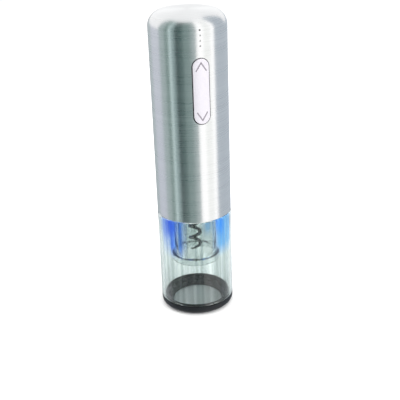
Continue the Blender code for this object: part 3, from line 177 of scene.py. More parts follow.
# ---------------------------------------------------------------------------
# The handle is one cup of stainless steel, drawn in a press and brushed round its axis on a belt. Its
# openings are punched: the rocker's slot, four small holes for the lights and, in the back, the plug's hole.
shell_low, shell_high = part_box("body_shell")
rocker_low, rocker_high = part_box("rocker_button")
lights_low, lights_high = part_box("indicator_light_guide")
jack_low, jack_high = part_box("charge_socket")
HANDLE_R = 25.0 * MM
HANDLE_TOP = shell_high.z
HANDLE_BOTTOM = shell_low.z
FILLET = 10.0 * MM
FLAT_R = HANDLE_R - FILLET
STEEL, TOP_THICK = 0.8 * MM, 1.0 * MM
INNER_FILLET = FILLET - STEEL
RIM_OUTER, RIM_INNER = 0.3 * MM, 0.2 * MM
FINE, ROUND = 180, 64
WELD = 0.002 * MM


def arc(centre_r, centre_z, radius, start_deg, end_deg, steps):
    """Points of a profile's round stretch, both ends included."""
    angles = [radians(start_deg + (end_deg - start_deg) * i / steps) for i in range(steps + 1)]
    return [(centre_r + radius * cos(a), centre_z + radius * sin(a)) for a in angles]


def start_piece(name):
    """Names the primitive that was just added and opens it for editing, selected all over."""
    obj = bpy.context.object
    obj.name = name
    obj.data.name = name
    bpy.ops.object.mode_set(mode="EDIT")
    bpy.ops.mesh.select_all(action="SELECT")
    return obj


def turned(name, profile, steps=FINE):
    """A piece turned round the Z axis: its closed profile of radii and heights is drawn and then spun."""
    bpy.ops.object.select_all(action="DESELECT")
    bpy.ops.mesh.primitive_plane_add(size=MM)
    obj = start_piece(name)
    bpy.ops.mesh.merge(type="CENTER")
    bpy.ops.transform.translate(value=(profile[0][0], 0, profile[0][1]))
    for (r, z), (next_r, next_z) in zip(profile, profile[1:] + profile[:1]):
        bpy.ops.mesh.extrude_region_move(TRANSFORM_OT_translate={"value": (next_r - r, 0, next_z - z)})
    bpy.ops.mesh.select_all(action="SELECT")
    bpy.ops.mesh.spin(steps=steps, angle=2 * pi, center=(0, 0, 0), axis=(0, 0, 1))
    bpy.ops.mesh.select_all(action="SELECT")
    bpy.ops.mesh.remove_doubles(threshold=WELD)
    bpy.ops.mesh.normals_make_consistent(inside=False)
    bpy.ops.object.mode_set(mode="OBJECT")
    return obj


def pick(obj):
    """Selects the piece alone and makes it the active one."""
    bpy.ops.object.select_all(action="DESELECT")
    obj.select_set(True)
    bpy.context.view_layer.objects.active = obj


def settle(obj):
    """Puts the piece's place, turn and size into its mesh."""
    pick(obj)
    bpy.ops.object.transform_apply(location=True, rotation=True, scale=True)


def select_points(obj, wanted):
    """Selects the piece's points that pass the test, and nothing else."""
    for face in obj.data.polygons:
        face.select = False
    for edge in obj.data.edges:
        edge.select = False
    for point in obj.data.vertices:
        point.select = wanted(point.co)


def slot_block(name, half_width, half_length, near, far, height):
    """A block along Y, from near to far, whose outline is a slot with round ends, long in Z."""
    bpy.ops.object.select_all(action="DESELECT")
    place = (0, (near + far) / 2, height)
    bpy.ops.mesh.primitive_cylinder_add(vertices=ROUND, radius=half_width, depth=far - near,
                                        location=place, rotation=(pi / 2, 0, 0))
    obj = bpy.context.object
    obj.name = name
    settle(obj)
    bpy.ops.object.mode_set(mode="EDIT")
    bpy.ops.mesh.select_all(action="SELECT")
    bpy.ops.transform.rotate(value=pi / ROUND, orient_axis="Y", center_override=place)
    bpy.ops.object.mode_set(mode="OBJECT")
    straight = half_length - half_width
    for side in (-1, 1):
        select_points(obj, lambda co: (co.z - height) * side > 0)
        bpy.ops.object.mode_set(mode="EDIT")
        bpy.ops.transform.translate(value=(0, 0, side * straight))
        bpy.ops.object.mode_set(mode="OBJECT")
    settle(obj)
    return obj


def round_bar(name, radius, near, far, height, facets=32):
    """A round bar along Y, from near to far, in the middle."""
    bpy.ops.object.select_all(action="DESELECT")
    bpy.ops.mesh.primitive_cylinder_add(vertices=facets, radius=radius, depth=far - near,
                                        location=(0, (near + far) / 2, height), rotation=(pi / 2, 0, 0))
    obj = bpy.context.object
    obj.name = name
    settle(obj)
    return obj


def modified(obj, kind, **settings):
    """Gives the piece a modifier with these settings and applies it."""
    pick(obj)
    bpy.ops.object.modifier_add(type=kind)
    modifier = obj.modifiers[-1]
    for key, value in settings.items():
        setattr(modifier, key, value)
    bpy.ops.object.modifier_apply(modifier=modifier.name)


def shaped_by(obj, operation, *tools):
    """Cuts the piece with each tool, or joins the tool to it, and takes the tools away."""
    for tool in tools:
        modified(obj, "BOOLEAN", operation=operation, solver="EXACT", object=tool)
        bpy.data.objects.remove(tool, do_unlink=True)


def smooth(obj, angle=35):
    """Shades the piece smooth, apart from its edges that are sharper than the angle."""
    pick(obj)
    bpy.ops.object.shade_smooth_by_angle(angle=radians(angle))


def node(tree, kind, **values):
    """A shader node with its settings and the values of its sockets, which go by name."""
    made = tree.nodes.new("ShaderNode" + kind)
    for key, value in values.items():
        if hasattr(made, key):
            setattr(made, key, value)
        else:
            made.inputs[key.replace("_", " ")].default_value = value
    return made


def grain(tree, scale, detail=4.0, stretch=(1, 1, 1), distortion=0.0):
    """Noise in the piece's own space, stretched by a factor along each axis."""
    place = node(tree, "TexCoord")
    mapping = node(tree, "Mapping")
    mapping.inputs["Scale"].default_value = stretch
    noise = node(tree, "TexNoise", Scale=scale, Detail=detail, Distortion=distortion)
    tree.links.new(place.outputs["Object"], mapping.inputs["Vector"])
    tree.links.new(mapping.outputs[0], noise.inputs["Vector"])
    return noise.outputs["Fac"]


def between(tree, factor, low, high, start=0.0, end=1.0):
    """A number that goes from low to high as the factor goes from start to end."""
    ranged = node(tree, "MapRange")
    for name, value in (("From Min", start), ("From Max", end), ("To Min", low), ("To Max", high)):
        ranged.inputs[name].default_value = value
    tree.links.new(factor, ranged.inputs["Value"])
    return ranged.outputs["Result"]


def tones(tree, factor, *stops):
    """A colour ramp of (position, colour) stops."""
    ramp = node(tree, "ValToRGB")
    elements = ramp.color_ramp.elements
    while len(elements) < len(stops):
        elements.new(0.5)
    for element, (position, colour) in zip(elements, stops):
        element.position = position
        element.color = (*colour, 1)
    tree.links.new(factor, ramp.inputs["Fac"])
    return ramp.outputs["Color"]


def maths(tree, operation, *terms, **settings):
    """The result of a maths node, each of whose terms is a number or another node's output."""
    made = node(tree, "Math", operation=operation, **settings)
    for socket, term in zip(made.inputs, terms):
        if isinstance(term, (int, float)):
            socket.default_value = term
        else:
            tree.links.new(term, socket)
    return made.outputs[0]


def relief(tree, shader, factor, strength, distance):
    """Raises the surface by the factor, over that distance in metres."""
    bump = node(tree, "Bump", Strength=strength, Distance=distance)
    tree.links.new(factor, bump.inputs["Height"])
    tree.links.new(bump.outputs[0], shader.inputs["Normal"])


def brushed_steel(name, colour):
    """Steel brushed round the Z axis: fine rings that change in tone with height and a little round it."""
    made, tree, shader = material(name)
    shader.inputs["Metallic"].default_value = 1.0
    shader.inputs["Anisotropic"].default_value = 0.75
    shader.inputs["Anisotropic Rotation"].default_value = 0.25
    lines = grain(tree, 900, 3, (0.012, 0.012, 1.6))
    wide = grain(tree, 120, 3, (0.05, 0.05, 1.4))
    both = maths(tree, "MULTIPLY_ADD", lines, 1.6, wide)
    dark = tuple(c * 0.91 for c in colour)
    light = tuple(min(1.0, c * 1.07) for c in colour)
    shade = tones(tree, between(tree, both, 0, 1, 0.7, 1.9), (0.0, dark), (1.0, light))
    tree.links.new(shade, shader.inputs["Base Color"])
    tree.links.new(between(tree, both, 0.24, 0.34, 0.7, 1.9), shader.inputs["Roughness"])
    relief(tree, shader, lines, 0.10, 0.03 * MM)
    return made


outside = [(HANDLE_R, HANDLE_BOTTOM + RIM_OUTER)] + arc(FLAT_R, HANDLE_TOP - FILLET, FILLET, 0, 90, 16)
outside += [(0.6 * FLAT_R, HANDLE_TOP), (0.25 * FLAT_R, HANDLE_TOP), (0, HANDLE_TOP)]
inner_top = HANDLE_TOP - TOP_THICK
inside = [(0, inner_top)] + arc(FLAT_R, inner_top - INNER_FILLET, INNER_FILLET, 90, 0, 8)
inside += [(HANDLE_R - STEEL, HANDLE_BOTTOM + RIM_INNER), (HANDLE_R - STEEL + RIM_INNER, HANDLE_BOTTOM)]
inside += [(HANDLE_R - RIM_OUTER, HANDLE_BOTTOM)]
steel_handle = turned("steel_handle", outside + inside)

ROCKER_HALF_W = rocker_high.x
ROCKER_HALF_L = (rocker_high.z - rocker_low.z) / 2
ROCKER_Z = (rocker_high.z + rocker_low.z) / 2
SLOT_GAP = 0.45 * MM
SLOT_SHIFT = 0.15 * MM
LIGHT_GAP = 0.05 * MM
CUT_START, CUT_END = 30.0 * MM, 18.5 * MM
LIGHT_PITCH = 3.2 * MM
LIGHT_R = 0.5 * MM
LIGHT_TOP_Z = lights_high.z - 1.1 * MM
LIGHT_HEIGHTS = [LIGHT_TOP_Z - LIGHT_PITCH * i for i in range(4)]
JACK_Z = (jack_low.z + jack_high.z) / 2
JACK_HOLE_R = 3.2 * MM
rocker_slot = slot_block("rocker_slot", ROCKER_HALF_W + SLOT_GAP, ROCKER_HALF_L + SLOT_GAP,
                         -CUT_START, -CUT_END, ROCKER_Z)
rocker_slot.location = (-SLOT_SHIFT, 0, 0)
settle(rocker_slot)
light_holes = [round_bar("light_hole", LIGHT_R + LIGHT_GAP, -CUT_START, -CUT_END, z) for z in LIGHT_HEIGHTS]
jack_hole = round_bar("jack_hole", JACK_HOLE_R, CUT_END, CUT_START, JACK_Z, ROUND)
shaped_by(steel_handle, "DIFFERENCE", rocker_slot, jack_hole, *light_holes)
smooth(steel_handle)
steel_handle.data.materials.append(brushed_steel("brushed_stainless", (0.80, 0.80, 0.80)))
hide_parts("body_shell")
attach(steel_handle, "handle")


# ---------------------------------------------------------------------------
# The rocker is a silver plastic button, long and round-ended, crowned to the handle's curve. An arrow head is
# moulded into each end, and it tips on a steel pin behind its middle.
ROCKER_R = HANDLE_R + 0.35 * MM
ROCKER_THICK, ROCKER_EDGE = 2.4 * MM, 0.45 * MM
STRIP = 0.6 * MM
ARROW_LENGTH, ARROW_WIDTH, ARROW_DEPTH = 6.6 * MM, 0.8 * MM, 0.25 * MM
ARROW_Z, ARROW_DROP, ARROW_REACH = ROCKER_HALF_L - 2.6 * MM, 57, 3.9 * MM
NEAR = 0.1 * MM


def round_front(obj, offset, segments, profile=0.5):
    """Rounds the edge round the piece's front face."""
    front = min(v.co.y for v in obj.data.vertices)
    select_points(obj, lambda co: co.y < front + NEAR)
    bpy.ops.object.mode_set(mode="EDIT")
    bpy.ops.mesh.select_mode(type="FACE")
    bpy.ops.mesh.region_to_loop()
    bpy.ops.mesh.bevel(offset=offset, segments=segments, profile=profile)
    bpy.ops.mesh.select_mode(type="VERT")
    bpy.ops.object.mode_set(mode="OBJECT")


def bend_round(obj, radius, height):
    """Cuts the flat piece into upright strips, bends it round the Z axis and lifts it to that height."""
    low = min(v.co.x for v in obj.data.vertices)
    high = max(v.co.x for v in obj.data.vertices)
    pick(obj)
    bpy.ops.object.mode_set(mode="EDIT")
    count = int((high - low) / STRIP)
    for i in range(1, count):
        bpy.ops.mesh.select_all(action="SELECT")
        bpy.ops.mesh.bisect(plane_co=(low + (high - low) * i / count, 0, 0), plane_no=(1, 0, 0))
    bpy.ops.object.mode_set(mode="OBJECT")
    modified(obj, "SIMPLE_DEFORM", deform_method="BEND", deform_axis="Z", angle=(high - low) / radius)
    obj.location = (0, -radius, height)
    settle(obj)


def start_block(name, size):
    """A block of that size round the origin, open for editing."""
    bpy.ops.object.select_all(action="DESELECT")
    bpy.ops.mesh.primitive_cube_add(size=1.0)
    obj = start_piece(name)
    bpy.ops.transform.resize(value=size)
    return obj


def mottled(tree, shader, factor, dark, light, low, high, ends=(0.3, 0.8), span=(0.0, 1.0)):
    """Gives a surface its tone, from dark to light, and its roughness, from low to high, by one factor."""
    tree.links.new(tones(tree, factor, (ends[0], dark), (ends[1], light)), shader.inputs["Base Color"])
    tree.links.new(between(tree, factor, low, high, *span), shader.inputs["Roughness"])


rocker = slot_block("silver_rocker", ROCKER_HALF_W, ROCKER_HALF_L, 0, ROCKER_THICK, 0)
round_front(rocker, ROCKER_EDGE, 4, 0.6)
for end in (-1, 1):
    for side in (-1, 1):
        bar = start_block("arrow_cutter", (ARROW_LENGTH, 2 * ARROW_DEPTH, ARROW_WIDTH))
        bpy.ops.transform.translate(value=(ARROW_LENGTH / 2 - ARROW_WIDTH / 2, 0, 0))
        bpy.ops.object.mode_set(mode="OBJECT")
        bar.rotation_euler = (0, radians(ARROW_DROP if side > 0 else 180 - ARROW_DROP) * end, 0)
        bar.location = (0, 0, end * ARROW_Z)
        settle(bar)
        shaped_by(rocker, "DIFFERENCE", bar)
bend_round(rocker, ROCKER_R, ROCKER_Z)
smooth(rocker, 40)

silver, tree, shader = material("satin_silver_paint")
shader.inputs["Metallic"].default_value = 0.25
shader.inputs["Coat Weight"].default_value = 0.25
shader.inputs["Coat Roughness"].default_value = 0.2
flake = grain(tree, 2600, 2)
mottled(tree, shader, flake, (0.56, 0.54, 0.58), (0.67, 0.64, 0.69), 0.26, 0.38, (0.3, 0.75))
relief(tree, shader, flake, 0.05, 0.02 * MM)
rocker.data.materials.append(silver)

arrow_paint, tree, shader = material("arrow_paint")
mottled(tree, shader, grain(tree, 900, 3), (0.22, 0.20, 0.23), (0.33, 0.30, 0.34), 0.4, 0.6)
rocker.data.materials.append(arrow_paint)
for polygon in rocker.data.polygons:
    centre = polygon.center
    depth = ROCKER_R - centre.xy.length
    on_arrow = abs(abs(centre.z - ROCKER_Z) - ARROW_Z) < ARROW_LENGTH and abs(centre.x) < ARROW_REACH
    if on_arrow and NEAR < depth < ARROW_DEPTH + NEAR:
        polygon.material_index = 1
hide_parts("rocker_button")
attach(rocker, "rocker")


# ---------------------------------------------------------------------------
# Behind the rocker's slot sits a black moulded bezel, in it the steel pin that the rocker tips on, and behind
# that a grey silicone pad whose two domes are the switches.


def dress(nodes, made):
    """Gives CAD pieces a material in place of their plain one."""
    for name in nodes:
        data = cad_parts[name].data
        data.materials.clear()
        data.materials.append(made)


def moulding(name, dark, light, low, high, scale=1500, depth=0.03 * MM, sheen=0.5):
    """A moulded plastic, rubber or ceramic: fine spark-eroded pits, in two tones and two roughnesses."""
    made, tree, shader = material(name)
    pits = grain(tree, scale, 5)
    mottled(tree, shader, pits, dark, light, low, high, span=(0.3, 0.7))
    relief(tree, shader, pits, 0.12, depth)
    shader.inputs["Specular IOR Level"].default_value = sheen
    return made


def machined(name, dark, light, low=0.2, high=0.4):
    """A bare or plated metal: fine tool marks, with faint cloudy tones."""
    made, tree, shader = material(name)
    shader.inputs["Metallic"].default_value = 1.0
    marks = grain(tree, 700, 4)
    tree.links.new(tones(tree, grain(tree, 90, 3), (0.3, dark), (0.75, light)), shader.inputs["Base Color"])
    tree.links.new(between(tree, marks, low, high, 0.3, 0.7), shader.inputs["Roughness"])
    relief(tree, shader, marks, 0.08, 0.02 * MM)
    return made


black = moulding("black_moulding", (0.008, 0.009, 0.011), (0.018, 0.020, 0.023), 0.32, 0.5, sheen=0.2)
gear_steel = machined("ground_gear_steel", (0.36, 0.36, 0.37), (0.52, 0.52, 0.53))
dress(["rocker_bezel"], black)
dress(["rocker_pin"], gear_steel)
dress(["dome_pad"], moulding("grey_silicone", (0.30, 0.31, 0.32), (0.38, 0.39, 0.40), 0.55, 0.75, 900))


# ---------------------------------------------------------------------------
# Four small lights show how full the cells are. They are pegs of one milky bar behind the steel, each with a
# rounded end in its own hole. The top one is coloured near black.
PEG_LENGTH, PEG_SUNK, PEG_ROOT, PEG_ROUND = 3.7 * MM, 0.05 * MM, 0.4 * MM, 0.2 * MM
bar_front = lights_low.y + PEG_LENGTH
bar_size = (lights_high.x - lights_low.x, lights_high.y - bar_front, lights_high.z - lights_low.z)
light_bar = start_block("indicator_light_bar", bar_size)
bpy.ops.transform.translate(value=(0, (lights_high.y + bar_front) / 2, (lights_high.z + lights_low.z) / 2))
bpy.ops.mesh.bevel(offset=0.25 * MM, segments=2)
bpy.ops.object.mode_set(mode="OBJECT")
for z in LIGHT_HEIGHTS:
    peg = round_bar("light_peg", LIGHT_R, lights_low.y + PEG_SUNK, bar_front + PEG_ROOT, z)
    round_front(peg, PEG_ROUND, 3)
    shaped_by(light_bar, "UNION", peg)
smooth(light_bar)
for name, dark, light in (("milky_light_guide", (0.50, 0.49, 0.49), (0.62, 0.61, 0.60)),
                          ("near_black_light_guide", (0.02, 0.02, 0.024), (0.04, 0.04, 0.045))):
    made, tree, shader = material(name)
    mottled(tree, shader, grain(tree, 1800, 3), dark, light, 0.10, 0.24)
    shader.inputs["Coat Weight"].default_value = 0.4
    light_bar.data.materials.append(made)
for polygon in light_bar.data.polygons:
    polygon.material_index = int(polygon.center.z > LIGHT_HEIGHTS[0] - LIGHT_PITCH / 2)
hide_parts("indicator_light_guide")
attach(light_bar, "handle")


# ---------------------------------------------------------------------------
# The sleeve is a clear polished moulding. Its plain wall ends in a thinner spigot that goes up inside the
# steel, and three lugs on the spigot lock it to the frame with a short twist. The blue light that the lamps
# above send down its wall is painted into it, as painted blue colour and a faint painted glow.
sleeve_low, sleeve_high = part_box("clear_sleeve")
SLEEVE_WALL = 2.0 * MM
SLEEVE_BORE = HANDLE_R - SLEEVE_WALL
OUTER_RING_Z, BORE_RING_Z = 45.0 * MM, 40.0 * MM
EDGE, SPIGOT_EDGE, BORE_EDGE, END_EDGE = 0.25 * MM, 0.4 * MM, 0.3 * MM, 0.2 * MM
SLEEVE_TOP = HANDLE_BOTTOM - 0.3 * MM
SPIGOT_GAP, SPIGOT_WALL = 0.3 * MM, 1.7 * MM
SPIGOT_R = HANDLE_R - STEEL - SPIGOT_GAP
SPIGOT_BORE = SPIGOT_R - SPIGOT_WALL
LUG_ANGLES, LUG_HALF_DEG, LUG_DEPTH, LUG_H = (30, 150, 270), 7.0, 1.3 * MM, 2.5 * MM
LUG_LOW = SLEEVE_TOP + 4.0 * MM
LUG_HIGH = LUG_LOW + LUG_H
LED_COUNT = 4
FLOW = (1, 1, 0.03)
# Heights over which the sleeve's painted blue light fades out downwards, and the half width of its shift in
# tone.
GLOW_LOW, GLOW_HIGH, GLOW_HALF_W = 41.0 * MM, 51.0 * MM, 12.0 * MM


def led_angle(number):
    """How far round the Z axis the lamp is, in radians."""
    low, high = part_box(f"led_{number}")
    return atan2(low.y + high.y, low.x + high.x)


profile = [(SLEEVE_BORE, sleeve_low.z), (HANDLE_R - END_EDGE, sleeve_low.z)]
profile += [(HANDLE_R, sleeve_low.z + END_EDGE), (HANDLE_R, OUTER_RING_Z)]
profile += [(HANDLE_R, SLEEVE_TOP - EDGE), (HANDLE_R - EDGE, SLEEVE_TOP), (SPIGOT_R, SLEEVE_TOP)]
profile += [(SPIGOT_R, sleeve_high.z - SPIGOT_EDGE), (SPIGOT_R - SPIGOT_EDGE, sleeve_high.z)]
profile += [(SPIGOT_BORE + BORE_EDGE, sleeve_high.z), (SPIGOT_BORE, sleeve_high.z - BORE_EDGE)]
profile += [(SPIGOT_BORE, LUG_HIGH), (SPIGOT_BORE, LUG_LOW), (SPIGOT_BORE, SLEEVE_TOP - 1.5 * MM)]
profile += [(SLEEVE_BORE, SLEEVE_TOP - 4.0 * MM), (SLEEVE_BORE, BORE_RING_Z)]
sleeve = turned("clear_lower_sleeve", profile)


def select_facets(obj, wanted):
    """Selects the piece's facets that pass the test, and nothing else."""
    select_points(obj, lambda co: False)
    for polygon in obj.data.polygons:
        polygon.select = wanted(polygon)


def azimuth(point):
    """How far round the Z axis the point is, in degrees."""
    return degrees(atan2(point.y, point.x))


def off_angle(point, angle):
    """How far round the Z axis the point is from that azimuth, in degrees."""
    return abs((azimuth(point) - angle + 180) % 360 - 180)


def raise_facets(obj, wanted, **transform):
    """Extrudes the facets that pass the test, all at once, and moves or resizes what was extruded."""
    select_facets(obj, wanted)
    bpy.ops.object.mode_set(mode="EDIT")
    bpy.ops.mesh.select_mode(type="FACE")
    bpy.ops.mesh.extrude_region_move()
    if "move" in transform:
        bpy.ops.transform.translate(value=transform["move"])
    else:
        bpy.ops.transform.resize(value=transform["grow"], center_override=(0, 0, 0))
    bpy.ops.mesh.select_mode(type="VERT")
    bpy.ops.object.mode_set(mode="OBJECT")


def is_lug(polygon):
    """Tells the facets of the spigot's bore where a lug stands."""
    middle = polygon.center
    in_bore = LUG_LOW < middle.z < LUG_HIGH and middle.xy.length < SPIGOT_BORE + NEAR
    return in_bore and any(off_angle(middle, angle) < LUG_HALF_DEG for angle in LUG_ANGLES)


lug_scale = 1 - LUG_DEPTH / SPIGOT_BORE
raise_facets(sleeve, is_lug, grow=(lug_scale, lug_scale, 1))
smooth(sleeve)


def mixed(tree, factor, first, second):
    """A colour that goes from the first to the second as the factor goes from 0 to 1."""
    layer = node(tree, "Mix", data_type="RGBA")
    tree.links.new(factor, layer.inputs["Factor"])
    tree.links.new(first, layer.inputs["A"])
    tree.links.new(second, layer.inputs["B"])
    return layer.outputs["Result"]


def own_space(tree):
    """The X, Y and Z of a point in the piece's own space."""
    place = node(tree, "TexCoord")
    parts = node(tree, "SeparateXYZ")
    tree.links.new(place.outputs["Object"], parts.inputs[0])
    return parts.outputs


def clear_plastic(name, dull, bright, painted_glow=False):
    """A clear moulding with faint flow lines along its length. A glowing wall gets the lamps' blue light
    painted into it under each lamp.
    """
    made, tree, shader = material(name)
    shader.inputs["Transmission Weight"].default_value = 1.0
    shader.inputs["IOR"].default_value = 1.49
    haze = grain(tree, 320, 4, FLOW)
    tint = tones(tree, haze, (0.34, dull), (0.62, bright))
    tree.links.new(between(tree, grain(tree, 160, 3), 0.015, 0.05), shader.inputs["Roughness"])
    if not painted_glow:
        tree.links.new(tint, shader.inputs["Base Color"])
        return made
    # Painted light: the lamps' blue light is painted into the wall's colour, in a lobe under each lamp that
    # fades out downwards, and its tone shifts towards a lighter blue on one side.
    place = own_space(tree)
    around = maths(tree, "ARCTAN2", place["Y"], place["X"])
    lobes = maths(tree, "COSINE", maths(tree, "MULTIPLY_ADD", around, LED_COUNT, -LED_COUNT * led_angle(1)))
    beam = between(tree, lobes, 0, 1, -0.25, 0.55)
    fall = between(tree, place["Z"], 0, 1, GLOW_LOW, GLOW_HIGH)
    streaks = between(tree, grain(tree, 420, 4, FLOW), 0.35, 1.25, 0.36, 0.62)
    lit = maths(tree, "MULTIPLY", maths(tree, "MULTIPLY", beam, fall), streaks, use_clamp=True)
    side = between(tree, place["X"], 0, 0.6, -GLOW_HALF_W, GLOW_HALF_W)
    drift = between(tree, grain(tree, 700, 3, FLOW), 0, 0.5, 0.35, 0.65)
    blue = tones(tree, maths(tree, "ADD", side, drift), (0.1, (0.075, 0.15, 0.56)), (0.9, (0.12, 0.42, 0.72)))
    tree.links.new(mixed(tree, lit, tint, blue), shader.inputs["Base Color"])
    # The painted glow: the wall gives off faint blue light where the painted light lies, though it is no
    # lamp.
    shine = tones(tree, lit, (0.0, (0, 0, 0)), (1.0, (0.004, 0.018, 0.07)))
    tree.links.new(shine, shader.inputs["Emission Color"])
    shader.inputs["Emission Strength"].default_value = 1.0
    return made


sleeve.data.materials.append(clear_plastic("clear_plastic_painted_glow", (0.46, 0.53, 0.52), (0.80, 0.85, 0.84), True))
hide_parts("clear_sleeve")
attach(sleeve, "sleeve")


# ---------------------------------------------------------------------------
# The foot ring is a black moulding that snaps into the sleeve's end. Its rounded edge stands on the bottle,
# a low lip stands up inside the sleeve, and the step inside that is cut into teeth.
foot_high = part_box("foot_ring")[1]
UPSTAND, UPSTAND_WALL = 1.2 * MM, 0.8 * MM
FOOT_H = foot_high.z - UPSTAND
FOOT_EDGE = 3.5 * MM
MOUTH_R, MOUTH_EDGE, MOUTH_SLOPE = 17.0 * MM, 0.5 * MM, 0.6 * MM
WALL_R = SLEEVE_BORE - SPIGOT_GAP
WALL_BORE = WALL_R - UPSTAND_WALL
STEP_R = MOUTH_R + 2.4 * MM
STEP_Z = FOOT_H - 0.8 * MM
TOOTH_H = 2.0 * MM
TOOTH_ROOT_Z = STEP_Z - TOOTH_H
TEETH, NOTCH_DEG = 12, 12.0
profile = [(MOUTH_R + MOUTH_EDGE, 0)] + arc(HANDLE_R - FOOT_EDGE, FOOT_EDGE, FOOT_EDGE, -90, 0, 10)
profile += [(HANDLE_R, FOOT_H - EDGE), (HANDLE_R - EDGE, FOOT_H), (WALL_R, FOOT_H)]
profile += [(WALL_R, foot_high.z), (WALL_BORE, foot_high.z), (WALL_BORE, TOOTH_ROOT_Z)]
profile += [(WALL_BORE - NEAR, TOOTH_ROOT_Z), (STEP_R, TOOTH_ROOT_Z)]
profile += [(STEP_R, TOOTH_ROOT_Z - MOUTH_SLOPE), (MOUTH_R, MOUTH_SLOPE)]
foot = turned("black_foot_ring", profile)


def is_tooth(polygon):
    """Tells the facets of the step's floor where a tooth stands, between two notches."""
    middle = polygon.center
    on_floor = abs(middle.z - TOOTH_ROOT_Z) < NEAR and STEP_R < middle.xy.length < WALL_BORE - NEAR
    return on_floor and abs(azimuth(middle) % (360 / TEETH) - 180 / TEETH) > NOTCH_DEG / 2


def soften(obj, width, angle=40):
    """Rounds the piece's edges that are sharper than the angle, and shades it smooth."""
    modified(obj, "BEVEL", width=width, segments=2, limit_method="ANGLE", angle_limit=radians(angle),
             use_clamp_overlap=True)
    smooth(obj)


raise_facets(foot, is_tooth, move=(0, 0, TOOTH_H))
soften(foot, 0.15 * MM)
foot.data.materials.append(black)
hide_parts("foot_ring")
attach(foot, "sleeve")


# ---------------------------------------------------------------------------
# The neck guide is a clear moulded tube over the cork, with ribs in its bore and a bell mouth that seats on
# the bottle's lip. Three plated screws hang it by its flange from the frame.
guide_low, guide_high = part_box("neck_guide")
guide_screw_low, guide_screw_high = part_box("guide_screw_1")
LIP_R = 15.0 * MM
LIP_Z = guide_low.z + 3.5 * MM
CHAMBER_R, CHAMBER_WALL = 12.6 * MM, 1.4 * MM
TUBE_R = CHAMBER_R + CHAMBER_WALL
SKIRT_R = LIP_R + 1.3 * MM
FLANGE_R = guide_high.x
FLANGE_Z = guide_high.z - 1.6 * MM
RIB_LOW, RIB_HIGH, RIB_H, RIB_HALF_DEG = LIP_Z + 5.0 * MM, guide_high.z - 4.0 * MM, 0.6 * MM, 1.9
SCREW_HOLE_R, SCREW_HOLE_DEPTH = 1.3 * MM, 6.0 * MM
profile = [(LIP_R, LIP_Z), (CHAMBER_R + 0.3 * MM, LIP_Z), (CHAMBER_R, LIP_Z + 0.3 * MM)]
profile += [(CHAMBER_R, RIB_LOW), (CHAMBER_R, RIB_HIGH), (CHAMBER_R, guide_high.z)]
profile += [(FLANGE_R, guide_high.z), (FLANGE_R, FLANGE_Z)]
profile += [(TUBE_R, FLANGE_Z), (TUBE_R, LIP_Z + 4.5 * MM), (TUBE_R + 0.3 * MM, LIP_Z + 3.4 * MM)]
profile += [(SKIRT_R - 0.4 * MM, LIP_Z + 1.6 * MM), (SKIRT_R, LIP_Z + 0.8 * MM), (SKIRT_R, guide_low.z)]
profile += [(LIP_R + 0.4 * MM, guide_low.z), (LIP_R, guide_low.z + 0.8 * MM)]
guide = turned("clear_neck_guide", profile, 160)


def is_rib(polygon):
    """Tells the facets of the chamber's bore where one of the four ribs stands."""
    middle = polygon.center
    in_bore = middle.xy.length < CHAMBER_R + NEAR and RIB_LOW < middle.z < RIB_HIGH
    return in_bore and abs(azimuth(middle) % 90 - 45) < RIB_HALF_DEG


rib_scale = 1 - RIB_H / CHAMBER_R
raise_facets(guide, is_rib, grow=(rib_scale, rib_scale, 1))
screw_r = ((guide_screw_low + guide_screw_high) / 2).xy.length
for angle in LUG_ANGLES:
    bpy.ops.object.select_all(action="DESELECT")
    place = (screw_r * cos(radians(angle)), screw_r * sin(radians(angle)), guide_high.z)
    bpy.ops.mesh.primitive_cylinder_add(vertices=24, radius=SCREW_HOLE_R, depth=SCREW_HOLE_DEPTH,
                                        location=place)
    screw_hole = bpy.context.object
    settle(screw_hole)
    shaped_by(guide, "DIFFERENCE", screw_hole)
soften(guide, 0.12 * MM)
guide.data.materials.append(clear_plastic("clear_guide_plastic", (0.66, 0.71, 0.70), (0.84, 0.88, 0.87)))
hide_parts("neck_guide")
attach(guide, "handle")
zinc = machined("zinc_plated_steel", (0.48, 0.49, 0.50), (0.66, 0.67, 0.68), 0.18, 0.36)
dress([f"guide_screw_{number}" for number in (1, 2, 3)], zinc)


# ---------------------------------------------------------------------------
# The ring board above the sleeve is green laminate with four blue lamps. Each lamp is a small white package
# with a clear window in its lower face, over the blue chip.
LAMINATE = (0.012, 0.10, 0.035), (0.03, 0.17, 0.06)
LAMP_W, LAMP_RIM, WINDOW_DEPTH = 2.8 * MM, 0.35 * MM, 0.12 * MM
board_green = moulding("board_laminate", *LAMINATE, 0.25, 0.42, 2200)
dress(["led_board"], board_green)
package_white = moulding("lamp_package", (0.72, 0.73, 0.74), (0.82, 0.83, 0.84), 0.4, 0.55, 2600)
lamp_window, tree, shader = material("blue_lamp_window")
chip = grain(tree, 1500, 3)
mottled(tree, shader, chip, (0.12, 0.30, 0.85), (0.30, 0.52, 1.0), 0.1, 0.2, (0.3, 0.75))
shine = tones(tree, chip, (0.3, (0.10, 0.30, 1.0)), (0.75, (0.30, 0.60, 1.0)))
tree.links.new(shine, shader.inputs["Emission Color"])
shader.inputs["Emission Strength"].default_value = 6.0
